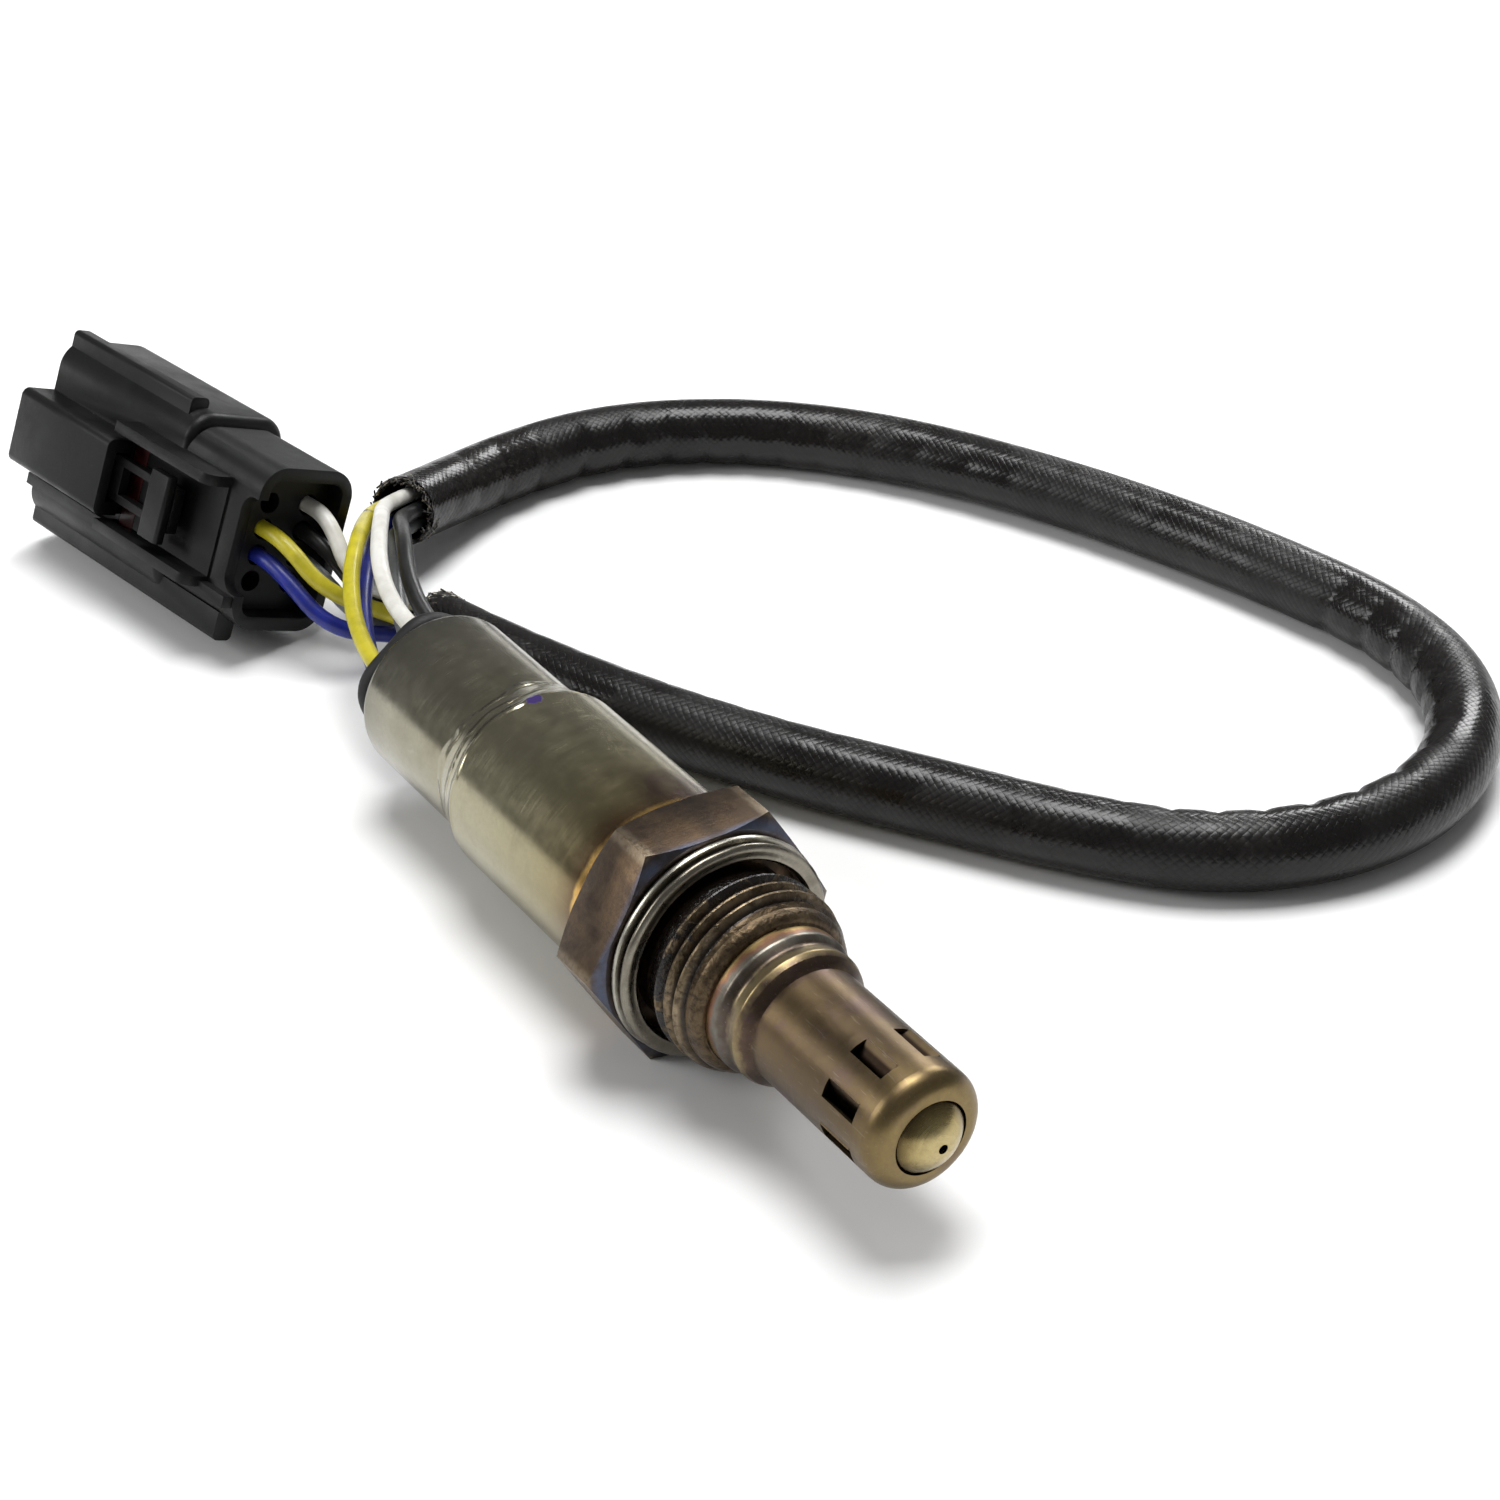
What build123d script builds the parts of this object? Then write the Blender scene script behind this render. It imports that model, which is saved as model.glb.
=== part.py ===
from build123d import *
from math import atan2, cos, degrees, pi, radians, sin, sqrt, tan
from typing import NamedTuple
import os

# Wide-band exhaust oxygen sensor with five leads in a braided sleeve and an eight-way plug.
# Frame: the sensor's axis is X and its tip points to +X, +Z is up, and the origin is on the axis
# at the front face of the gasket, where it seals on the exhaust boss.

# ---------------------------------------------------------------- driving dimensions, mm

HEX_AF = 22.0                # wrench size across flats, one flat down
HEX_LENGTH = 6.6
HEX_CHAMFER_R = 11.15        # radius where the hex's corner chamfers start
HEX_CHAMFER_DEG = 28.0

GASKET_FIT = 0.15            # clearance round the thread
GASKET_BAND = 1.8            # the ring's width, from its bore to its edge
GASKET_THICK = 2.2

THREAD_D = 18.0              # M18 x 1.5, shown at its major diameter
THREAD_END_X = 7.0
THREAD_CHAMFER = 1.3
RELIEF_D = 16.3
RELIEF_LENGTH = 1.1

SHELL_COLLAR_LENGTH = 9.4    # collar behind the hex, inside the rear sleeve
SHELL_REAR_BORE_D = 13.6
SHELL_FRONT_BORE_D = 10.6
SHELL_SHOULDER_X = -1.0
SHELL_NOSE_BORE_D = 14.24
SHELL_NOSE_SEAT_X = 3.0
SHELL_LIP_BORE_D = 10.4
SHELL_LIP_THICK = 0.8
NOSE_OD = 15.4
NOSE_END_X = 7.5

TUBE_WALL = 0.5
COLLAR_D = 14.2              # outer protection tube's root, seated in the shell's nose
COLLAR_END_X = 9.0
WAIST_D = 13.1
WAIST_X = 9.9
BEAD_D = 13.5
BEAD_X = 11.1
TUBE_D = 11.4
TUBE_START_X = 12.6
TUBE_END_X = 30.1
TUBE_END_R = 1.9
TIP_RIM = 2.15               # rolled rim round the tip hole
SLOT_COUNT = 8
SLOT_FIRST_DEG = 20.0
SLOT_START_X = 22.4
SLOT_LENGTH = 4.3
SLOT_WIDTH = 1.7
VANE_WIDTH = 1.5
VANE_THICK = 0.3
VANE_DEG = 35.0

INNER_TUBE_GAP = 1.0         # between the two tubes
INNER_TUBE_WALL = 0.4
INNER_FLANGE_THICK = 0.5
INNER_DOME_START_X = 28.6
TIP_FIT = 0.1                # clearance of the inner cup's domed end in the tip hole
TIP_X = 31.8
TIP_GAS_HOLE_D = 0.9
INNER_GAS_HOLE_D = 1.3
INNER_GAS_HOLE_COUNT = 6
INNER_GAS_HOLE_X = 8.0

ELEMENT_WIDTH = 4.2          # flat ceramic sensing element
ELEMENT_THICK = 1.4
ELEMENT_TIP_X = 24.0
ELEMENT_REAR_X = -40.0

FRONT_CERAMIC_LENGTH = 3.8   # its head, behind the shell's shoulder
TALC_LENGTH = 4.2
BUSH_CLEARANCE = 0.05

SLEEVE_LARGE_D = 19.7        # rear sleeve, stepped
SLEEVE_SMALL_D = 17.3
SLEEVE_WALL = 0.5
SLEEVE_STEP_FRONT_X = -32.6
SLEEVE_STEP_REAR_X = -36.6
SLEEVE_RIM_X = -53.2
SLEEVE_RIM_R = 1.1
SLEEVE_LIP_D = 20.3          # flared front edge against the hex
SLEEVE_LIP_LENGTH = 1.0

HOLDER_D = 13.9              # ceramic terminal holder
HOLDER_FLANGE_D = 16.2
HOLDER_FLANGE_THICK = 2.0
HOLDER_FRONT_X = -24.0
HOLDER_REAR_X = -45.0
HOLDER_RING_LENGTH = 2.0
HOLDER_RING_GAP = 0.05

CONTACT_THICK = 0.4
CONTACT_WIDTH = 0.9
CONTACT_FRONT_X = -27.0
CONTACT_LINK_X = -41.0
CONTACT_LINK_THICK = 0.5
CONTACT_GAP = 0.1

GROMMET_D = 16.2
GROMMET_HEAD_D = 15.2
GROMMET_END_X = -55.0
GROMMET_RIM_ID = 15.3

WIRE_D = 1.8
WIRE_FIT = 0.04              # clearance round a lead in a straight hole
GROMMET_FIT = 0.2            # clearance round a lead in the grommet, where it starts to bend
CRIMP_END_X = -43.0          # how far the contacts' barrels are bored
WIRE_CIRCLE_R = 4.7          # the five leads on a circle in the grommet
BARREL_WALL = 0.3

BRAID_D = 8.2                # braided sleeve round the leads
BRAID_ID = 6.9
BUNDLE_R = 1.85              # circle of the five leads inside the braided sleeve

FLOOR_Z = -HEX_AF / 2

PLUG_AT = (-126.71, -5.64)    # middle of the plug's mating end
PLUG_TURN_DEG = 9.0          # heading of the plug's length from +X
PLUG_ROLL_DEG = 22.5         # it leans back about its length
PLUG_LENGTH = 40.0
PLUG_WIDTH = 21.1            # along its own height, front shell
PLUG_THICK = 13.0
PLUG_REAR_WIDTH = 18.6
PLUG_SHELL_LENGTH = 26.4
PLUG_SHELL_END_R = 1.1
PLUG_CORNER_R = 3.2
PLUG_WALL = 1.3
PLUG_CAVITY_DEPTH = 16.0
RIB_WIDTH = 2.4
RIB_RISE = 1.1
RIB_LENGTH = 23.9
RAIL_LENGTH = 37.2
BLOCK_LENGTH = 18.0          # bridge over the latch arm
BLOCK_WIDTH = 8.8
BLOCK_RISE = 4.1
TUNNEL_WIDTH = 5.8
TUNNEL_HEIGHT = 2.2
ARM_WIDTH = 5.0
ARM_THICK = 1.3
ARM_END = 29.0
ARM_WINDOW = (19.0, 24.0)
PAD_LENGTH = 3.6             # thumb pad at the arm's free end
PAD_LIP = 1.3
GUARD_END = 35.0
GUARD_WIDTH = 12.6
GUARD_WALL = 1.2
GUARD_RISE = 3.0
GUARD_END_R = 1.6
WAY_PITCH = 3.0
ROW_PITCH = 5.2
WAYS_PER_ROW = 4
TOWER_WIDTH = 13.4
TOWER_THICK = 8.0
TOWER_FRONT = 2.0
CAVITY_SIDE = 2.1
TERMINAL_SIDE = 1.9
TERMINAL_BORE = 1.1
TERMINAL_FRONT = 4.0
TERMINAL_BOX_LENGTH = 12.0
TERMINAL_NECK_LENGTH = 4.0
TERMINAL_BARREL_LENGTH = 6.0
LOCK_FRONT = 17.5
LOCK_LENGTH = 2.6
LOCK_DEPTH = 9.9
LOCK_WIDTH = 11.6
LOCK_FIT = 0.1
MAT_LENGTH = 5.5
MAT_WIDTH = 15.6
MAT_THICK = 9.8
MAT_FIT = 0.1
COVER_LENGTH = 3.0
COVER_HOLE_FIT = 0.3         # clearance round a lead in the rear cap
HOOD_DEPTH = 2.5
NOTCH_WIDTH = 11.0           # opening in the hood's latch side
NOTCH_R = 1.8
RING_SEAL_LENGTH = 5.0



class Lead(NamedTuple):
    """One lead: where it sits at each end, and how it turns into the plug."""

    name: str
    angle: float             # round the bundle, from its left side upwards
    side: int                # face of the element that its contact lies on: 1 upper, -1 lower
    column: float            # sideways place of that contact on the element
    row: int                 # plug row: -1 latch side, 1 back
    height: float            # way up the plug's row
    turn: tuple              # corner of its run between the braided sleeve and the plug
    exit_length: float       # straight part behind the plug


LEADS = [
    Lead("yellow", 20.0, 1, -1.35, -1, 1.5, (-80.32, 0.86, -1.9), 1.67),
    Lead("white", 92.0, 1, 0.0, 1, 4.5, (-80.65, 4.18, -1.63), 1.5),
    Lead("black", 164.0, 1, 1.35, 1, 1.5, (-80.71, 6.32, -5.29), 1.7),
    Lead("grey", 236.0, -1, 0.9, 1, -1.5, (-80.83, 5.06, -7.06), 1.5),
    Lead("blue", 308.0, -1, -0.9, -1, -1.5, (-78.19, 0.18, -5.53), 1.53),
]

# middle of the five leads, from inside the sensor to the braided sleeve: x, y, z, bundle radius
SENSOR_RUN = [
    (-43.2, 0.0, 0.0, 4.70),
    (-53.0, 0.04, 0.04, 4.70),
    (-58.6, 0.0, 0.2, 4.45),
    (-64.8, 0.7, 1.4, 3.75),
    (-71.0, 2.9, 2.7, 3.15),
    (-76.9, 6.1, 3.1, 2.70),
    (-83.0, 9.4, 1.5, 2.30),
    (-88.6, 12.2, -0.8, 2.00),
    (-94.0, 15.6, -3.1, 1.85),
]

# middle of the braided sleeve, from its end near the sensor to its end near the plug
BRAID_RUN = [
    (-95.7, 18.4, -3.81),
    (-101.2, 27.4, -6.1),
    (-104.6, 37.6, -6.9),
    (-104.9, 48.6, -6.9),
    (-101.0, 59.4, -6.9),
    (-92.8, 70.0, -6.9),
    (-79.6, 79.8, -6.9),
    (-63.2, 87.4, -6.9),
    (-47.4, 92.6, -6.9),
    (-32.1, 96.2, -6.9),
    (-19.6, 98.1, -6.9),
    (-7.0, 95.8, -6.9),
    (3.3, 88.2, -6.9),
    (9.2, 76.8, -6.9),
    (9.5, 64.1, -6.9),
    (4.2, 52.4, -6.9),
    (-5.8, 44.1, -6.9),
    (-17.4, 36.9, -6.9),
    (-32.5, 27.4, -6.9),
    (-50.5, 19.0, -6.9),
    (-67.0, 13.35, -6.9),
    (-75.4, 11.41, -6.9),
]
BUNDLE_END = (-77.8, 10.85, -6.9)     # where the leads start to spread towards the plug

# ---------------------------------------------------------------- derived places

GASKET_ID = THREAD_D + 2 * GASKET_FIT
GASKET_OD = GASKET_ID + 2 * GASKET_BAND
TIP_HOLE_D = TUBE_D - 2 * TIP_RIM
INNER_TUBE_D = TUBE_D - 2 * (TUBE_WALL + INNER_TUBE_GAP)
INNER_NECK_D = TIP_HOLE_D - 2 * TIP_FIT
HEX_FRONT_X = -GASKET_THICK
HEX_REAR_X = HEX_FRONT_X - HEX_LENGTH
SHELL_REAR_X = HEX_REAR_X - SHELL_COLLAR_LENGTH
SHELL_COLLAR_D = SLEEVE_LARGE_D - 2 * SLEEVE_WALL
TALC_FRONT_X = SHELL_SHOULDER_X - FRONT_CERAMIC_LENGTH
TALC_REAR_X = TALC_FRONT_X - TALC_LENGTH
PACKING_RING_THICK = 0.7
BUSH_REAR_X = SHELL_REAR_X + SHELL_LIP_THICK + PACKING_RING_THICK
HEX_CORNER_R = HEX_AF / sqrt(3)
NEAR = -PLUG_THICK / 2       # the plug's latch side, in its own frame
COVER_FRONT = PLUG_LENGTH - HOOD_DEPTH - COVER_LENGTH
MAT_FRONT = COVER_FRONT - MAT_LENGTH


# ---------------------------------------------------------------- helpers

def turned(profile):
    """A solid of revolution about X from (x, r) points in order."""
    with BuildPart() as part:
        with BuildSketch(Plane.XY):
            with BuildLine():
                Polyline(*profile, close=True)
            make_face()
        revolve(axis=Axis.X)
    return part.part


def corners_at(x, *radii):
    """Corners of the profile being drawn, at one station and at the given radii."""
    return [v for v in vertices() if abs(v.X - x) < 0.01 and min(abs(v.Y - r) for r in radii) < 0.01]


def rod(x0, x1, radius, y=0.0, z=0.0):
    """A round bar along X."""
    middle = Pos((x0 + x1) / 2, y, z)
    return middle * Cylinder(radius, x1 - x0, rotation=(0, 90, 0))


def block(x0, x1, y0, y1, z0, z1):
    """A rectangular block between two corners."""
    return Pos((x0 + x1) / 2, (y0 + y1) / 2, (z0 + z1) / 2) * Box(x1 - x0, y1 - y0, z1 - z0)


def square_bar(x0, x1, side, y, z):
    """A square bar along X, centred at y and z."""
    half = side / 2
    return block(x0, x1, y - half, y + half, z - half, z + half)


def rounded_bar(x0, x1, width_y, width_z, radius):
    """A bar along X with a rounded rectangular section, centred on the axis."""
    section = Plane.YZ.offset(x0) * RectangleRounded(width_y, width_z, radius)
    return extrude(section, x1 - x0, dir=(1, 0, 0))


def lead_place(lead):
    """Unit offset of a lead in the bundle: left of the route, and up."""
    return cos(radians(lead.angle)), sin(radians(lead.angle))


def wire_hole(lead):
    """Where a lead passes the back of the sensor, across and up."""
    left, up = lead_place(lead)
    return -left * WIRE_CIRCLE_R, up * WIRE_CIRCLE_R


def beside(route, left, up):
    """The route moved sideways and up at every point by that point's own bundle radius."""
    moved = []
    for i, (x, y, z, spread) in enumerate(route):
        before = Vector(*route[max(i - 1, 0)][:2])
        after = Vector(*route[min(i + 1, len(route) - 1)][:2])
        here = Vector(x, y)
        runs = [run for run in (here - before, after - here) if run.length > 0]
        headings = [run.normalized() for run in runs]
        mean = sum(headings, Vector(0, 0)).normalized()
        side = Vector(-mean.Y, mean.X) * (left * spread / max(mean.dot(headings[0]), 0.5))
        moved.append((x + side.X, y + side.Y, z + up * spread))
    return moved


def corner_radii(points):
    """The largest arc that each corner's shorter run allows."""
    radii = []
    for a, b, c in zip(points, points[1:], points[2:]):
        run_in = Vector(*b) - Vector(*a)
        run_out = Vector(*c) - Vector(*b)
        half_turn = radians(run_in.get_angle(run_out)) / 2
        radii.append(0.45 * min(run_in.length, run_out.length) / tan(half_turn))
    return radii


def cord(name, points, outer_d, inner_d=0.0):
    """A tube or a round lead along straight runs joined by tangent arcs."""
    radii = corner_radii(points)
    path = FilletPolyline(*[Vector(*p) for p in points], radius=radii)
    start = Plane(origin=path @ 0, z_dir=path % 0)
    section = Circle(outer_d / 2)
    area = pi * outer_d ** 2 / 4
    if inner_d:
        section -= Circle(inner_d / 2)
        area -= pi * inner_d ** 2 / 4
    solid = sweep(start * section, path=path)
    bends = ", ".join(f"{r:.0f}" for r in radii)
    share = solid.volume / (area * path.length)
    print(f"{name}: length {path.length:.1f}, bend radii {bends}, volume share {share:.4f}")
    return solid


# ---------------------------------------------------------------- sensor body

def threaded_shell():
    """Steel body: rear collar, hex, relief, thread and the nose that holds the protection tubes."""
    thread_r = THREAD_D / 2
    chamfer_root = thread_r - THREAD_CHAMFER
    lip_x = SHELL_REAR_X + SHELL_LIP_THICK
    body = turned([
        (SHELL_REAR_X, SHELL_LIP_BORE_D / 2),
        (SHELL_REAR_X, SHELL_COLLAR_D / 2 - 0.8),
        (SHELL_REAR_X + 0.8, SHELL_COLLAR_D / 2),
        (HEX_REAR_X, SHELL_COLLAR_D / 2),
        (HEX_FRONT_X, SHELL_COLLAR_D / 2),
        (HEX_FRONT_X, RELIEF_D / 2),
        (RELIEF_LENGTH, RELIEF_D / 2),
        (RELIEF_LENGTH + thread_r - RELIEF_D / 2, thread_r),
        (THREAD_END_X - THREAD_CHAMFER * 1.4, thread_r),
        (THREAD_END_X, chamfer_root),
        (NOSE_END_X, NOSE_OD / 2 - 0.2),
        (NOSE_END_X, SHELL_NOSE_BORE_D / 2),
        (SHELL_NOSE_SEAT_X, SHELL_NOSE_BORE_D / 2),
        (SHELL_NOSE_SEAT_X, SHELL_FRONT_BORE_D / 2),
        (SHELL_SHOULDER_X, SHELL_FRONT_BORE_D / 2),
        (SHELL_SHOULDER_X, SHELL_REAR_BORE_D / 2),
        (lip_x, SHELL_REAR_BORE_D / 2),
        (lip_x, SHELL_LIP_BORE_D / 2),
    ])
    hexagon = Plane.YZ.offset(HEX_REAR_X) * RegularPolygon(HEX_CORNER_R, 6)
    nut = extrude(hexagon, HEX_LENGTH, dir=(1, 0, 0))
    slope = (HEX_CORNER_R - HEX_CHAMFER_R + 0.2) * tan(radians(HEX_CHAMFER_DEG))
    outside = HEX_CORNER_R + 0.2
    crown = turned([
        (HEX_REAR_X, 0),
        (HEX_REAR_X, HEX_CHAMFER_R),
        (HEX_REAR_X + slope, outside),
        (HEX_FRONT_X - slope, outside),
        (HEX_FRONT_X, HEX_CHAMFER_R),
        (HEX_FRONT_X, 0),
    ])
    nut = (nut & crown) - rod(HEX_REAR_X - 1, HEX_FRONT_X + 1, SHELL_COLLAR_D / 2 - 0.5)
    return body + nut


def gasket():
    """Folded steel crush ring: an S-shaped section with an open groove round its edge."""
    outer, inner = GASKET_OD / 2, GASKET_ID / 2
    rear, front = -GASKET_THICK, 0.0
    groove = 0.35
    middle = (rear + front) / 2
    return turned([
        (rear, inner + 0.3), (rear, outer - 0.5), (rear + 0.35, outer),
        (middle - groove / 2, outer), (middle - groove / 2, outer - 1.1),
        (middle + groove / 2, outer - 1.1), (middle + groove / 2, outer - 0.15),
        (front - 0.35, outer - 0.15), (front, outer - 0.6), (front, inner + 0.3),
        (front - 0.3, inner), (rear + 0.3, inner),
    ])


def tube_half_profile():
    """Outer outline of the outer protection tube, as (x, r) points from its root to the tip hole."""
    return [
        (SHELL_NOSE_SEAT_X + INNER_FLANGE_THICK, COLLAR_D / 2),
        (COLLAR_END_X, COLLAR_D / 2),
        (WAIST_X, WAIST_D / 2),
        (BEAD_X, BEAD_D / 2),
        (BEAD_X + 0.6, BEAD_D / 2 - 0.25),
        (TUBE_START_X, TUBE_D / 2),
        (TUBE_END_X, TUBE_D / 2),
        (TUBE_END_X, TIP_HOLE_D / 2),
    ]


def outer_protection_tube():
    """Drawn tube with a collar, a bead, eight louvred slots and a rolled end round the tip hole."""
    outline = tube_half_profile()
    wall_r = [(x, r - TUBE_WALL) for x, r in outline[:-2]]
    inside = wall_r[:-1] + [(TUBE_START_X, TUBE_D / 2 - TUBE_WALL)]
    end_x = TUBE_END_X - TUBE_WALL
    inside += [(end_x, TUBE_D / 2 - TUBE_WALL), (end_x, TIP_HOLE_D / 2)]
    with BuildPart() as part:
        with BuildSketch(Plane.XY):
            with BuildLine():
                Polyline(*(outline + inside[::-1]), close=True)
            make_face()
            fillet(corners_at(TUBE_END_X, TUBE_D / 2), TUBE_END_R)
            fillet(corners_at(end_x, TUBE_D / 2 - TUBE_WALL), TUBE_END_R - TUBE_WALL)
            fillet(corners_at(WAIST_X, WAIST_D / 2), 0.6)
            fillet(corners_at(BEAD_X, BEAD_D / 2), 0.4)
            fillet(corners_at(COLLAR_END_X, COLLAR_D / 2), 0.6)
        revolve(axis=Axis.X)
    tube = part.part
    slot_end = SLOT_START_X + SLOT_LENGTH
    side, radius = SLOT_WIDTH / 2, TUBE_D / 2
    mouth = block(SLOT_START_X, slot_end, radius - 1.2, radius + 1, -side, side)
    hinge = Pos(0, radius - TUBE_WALL / 2, -side) * Rot(X=VANE_DEG)
    skin = VANE_THICK / 2
    vane = hinge * block(SLOT_START_X + 0.1, slot_end - 0.1, -skin, skin, -0.25, VANE_WIDTH)
    turns = [Rot(X=SLOT_FIRST_DEG + 360 / SLOT_COUNT * i) for i in range(SLOT_COUNT)]
    for turn in turns:
        tube -= turn * mouth
    for turn in turns:
        tube += turn * vane
    return tube


def inner_protection_tube():
    """Inner cup: a flange under the outer tube's root and a domed end through its tip hole."""
    radius = INNER_TUBE_D / 2
    neck = INNER_NECK_D / 2
    wall = INNER_TUBE_WALL
    x0 = SHELL_NOSE_SEAT_X
    dome_rise = TIP_X - INNER_DOME_START_X - 0.9
    with BuildPart() as part:
        with BuildSketch(Plane.XY):
            with BuildLine():
                l1 = Polyline(
                    (x0, radius - wall), (x0, COLLAR_D / 2 - 0.02),
                    (x0 + INNER_FLANGE_THICK, COLLAR_D / 2 - 0.02), (x0 + INNER_FLANGE_THICK, radius),
                    (INNER_DOME_START_X, radius), (INNER_DOME_START_X + 0.9, neck),
                    (INNER_DOME_START_X + 1.3, neck),
                )
                ThreePointArc(l1 @ 1, (TIP_X - dome_rise * 0.28, neck * 0.62), (TIP_X, 0))
                Line((TIP_X, 0), (TIP_X - wall, 0))
                ThreePointArc(
                    (TIP_X - wall, 0),
                    (TIP_X - wall - dome_rise * 0.28, (neck - wall) * 0.62),
                    (INNER_DOME_START_X + 1.3, neck - wall),
                )
                Polyline(
                    (INNER_DOME_START_X + 1.3, neck - wall), (INNER_DOME_START_X + 0.6, neck - wall),
                    (INNER_DOME_START_X - wall, radius - wall), (x0, radius - wall),
                )
            make_face()
        revolve(axis=Axis.X)
    cup = part.part - rod(TIP_X - 2, TIP_X + 1, TIP_GAS_HOLE_D / 2)
    for i in range(INNER_GAS_HOLE_COUNT):
        hole = Pos(INNER_GAS_HOLE_X, 0, radius) * Cylinder(INNER_GAS_HOLE_D / 2, 3)
        cup -= Rot(X=360 / INNER_GAS_HOLE_COUNT * i) * hole
    return cup


def element_slot(x0, x1, gap=0.0):
    """The flat element's own section between two stations, with clearance all round."""
    half_w = ELEMENT_WIDTH / 2 + gap
    half_t = ELEMENT_THICK / 2 + gap
    return block(x0, x1, -half_w, half_w, -half_t, half_t)


def sensing_element():
    """Flat layered ceramic bar from the gas chamber to the rear contacts."""
    bar = element_slot(ELEMENT_REAR_X, ELEMENT_TIP_X)
    tip_edges = bar.edges().filter_by(Axis.Y).group_by(Axis.X)[-1]
    return chamfer(tip_edges, 0.35)


def front_ceramic():
    """Alumina holder seated on the shell's inner shoulder."""
    head = rod(TALC_FRONT_X, SHELL_SHOULDER_X, SHELL_REAR_BORE_D / 2 - BUSH_CLEARANCE)
    neck = rod(SHELL_SHOULDER_X, SHELL_NOSE_SEAT_X, SHELL_FRONT_BORE_D / 2 - BUSH_CLEARANCE)
    return head + neck - element_slot(TALC_FRONT_X - 1, SHELL_NOSE_SEAT_X + 1, BUSH_CLEARANCE)


def talc_packing():
    """Pressed talc ring that seals the element in the shell."""
    packing = rod(TALC_REAR_X, TALC_FRONT_X, SHELL_REAR_BORE_D / 2)
    return packing - element_slot(TALC_REAR_X - 1, TALC_FRONT_X + 1)


def rear_bush():
    """Alumina bush that presses on the talc."""
    bush = rod(BUSH_REAR_X, TALC_REAR_X, SHELL_REAR_BORE_D / 2 - BUSH_CLEARANCE)
    return bush - element_slot(BUSH_REAR_X - 1, TALC_REAR_X + 1, BUSH_CLEARANCE)


def packing_ring():
    """Soft metal ring under the shell's crimped rear lip."""
    x0 = BUSH_REAR_X - PACKING_RING_THICK
    ring = rod(x0, BUSH_REAR_X, SHELL_REAR_BORE_D / 2 - BUSH_CLEARANCE)
    return ring - rod(x0 - 1, BUSH_REAR_X + 1, SHELL_LIP_BORE_D / 2)


# ---------------------------------------------------------------- rear of the sensor

def rear_sleeve():
    """Stepped steel sleeve from the hex to the grommet, with a rolled rim at the back."""
    big, small = SLEEVE_LARGE_D / 2, SLEEVE_SMALL_D / 2
    wall = SLEEVE_WALL
    outer = [
        (HEX_REAR_X, SLEEVE_LIP_D / 2),
        (HEX_REAR_X - SLEEVE_LIP_LENGTH * 0.5, SLEEVE_LIP_D / 2),
        (HEX_REAR_X - SLEEVE_LIP_LENGTH, big),
        (SLEEVE_STEP_FRONT_X, big),
        (SLEEVE_STEP_REAR_X, small),
        (SLEEVE_RIM_X, small),
        (SLEEVE_RIM_X, GROMMET_RIM_ID / 2),
    ]
    inner = [
        (SLEEVE_RIM_X + wall, GROMMET_RIM_ID / 2),
        (SLEEVE_RIM_X + wall, small - wall),
        (SLEEVE_STEP_REAR_X, small - wall),
        (SLEEVE_STEP_FRONT_X, big - wall),
        (HEX_REAR_X, big - wall),
    ]
    with BuildPart() as part:
        with BuildSketch(Plane.XY):
            with BuildLine():
                Polyline(*(outer + inner), close=True)
            make_face()
            fillet(corners_at(SLEEVE_RIM_X, small), SLEEVE_RIM_R * 0.9)
            fillet(corners_at(SLEEVE_STEP_FRONT_X, big, big - wall), 1.6)
            fillet(corners_at(SLEEVE_STEP_REAR_X, small, small - wall), 2.0)
        revolve(axis=Axis.X)
    return part.part


def contact_shape(lead, gap=0.0):
    """Spring blade on the element, a link outwards, and the barrel that grips the lead."""
    hole_y, hole_z = wire_hole(lead)
    face = ELEMENT_THICK / 2
    z_low, z_high = sorted((lead.side * face, lead.side * (face + CONTACT_THICK + gap)))
    half = CONTACT_WIDTH / 2 + gap
    link_rear = CONTACT_LINK_X - CONTACT_LINK_THICK
    y_low, y_high = lead.column - half, lead.column + half
    blade = block(link_rear, CONTACT_FRONT_X + gap, y_low, y_high, z_low, z_high)
    middle = lead.side * (face + CONTACT_THICK / 2)
    across, rise = hole_y - lead.column, hole_z - middle
    reach = sqrt(across ** 2 + rise ** 2)
    link_box = Box(CONTACT_LINK_THICK + gap, reach + 0.2 + gap, 2 * (CONTACT_THICK + gap))
    link_start = Pos(CONTACT_LINK_X - CONTACT_LINK_THICK / 2, lead.column, middle)
    link = link_start * Rot(X=degrees(atan2(rise, across))) * Pos(0, reach / 2, 0) * link_box
    barrel_r = WIRE_D / 2 + WIRE_FIT + BARREL_WALL + gap
    return blade + link + rod(HOLDER_REAR_X - gap, CONTACT_LINK_X, barrel_r, hole_y, hole_z)


def element_contact(lead):
    """One contact, with its barrel bored for the lead."""
    bore = rod(HOLDER_REAR_X - 1, CRIMP_END_X, WIRE_D / 2 + WIRE_FIT, *wire_hole(lead))
    return contact_shape(lead) - bore


def terminal_holder():
    """Ceramic holder for the element's contacts, with a flange at its rear."""
    body = rod(HOLDER_REAR_X, HOLDER_FRONT_X, HOLDER_D / 2)
    body += rod(HOLDER_REAR_X, HOLDER_REAR_X + HOLDER_FLANGE_THICK, HOLDER_FLANGE_D / 2)
    body -= element_slot(ELEMENT_REAR_X - 0.3, HOLDER_FRONT_X + 1, CONTACT_GAP)
    for lead in LEADS:
        body -= contact_shape(lead, CONTACT_GAP)
    return body


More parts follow.
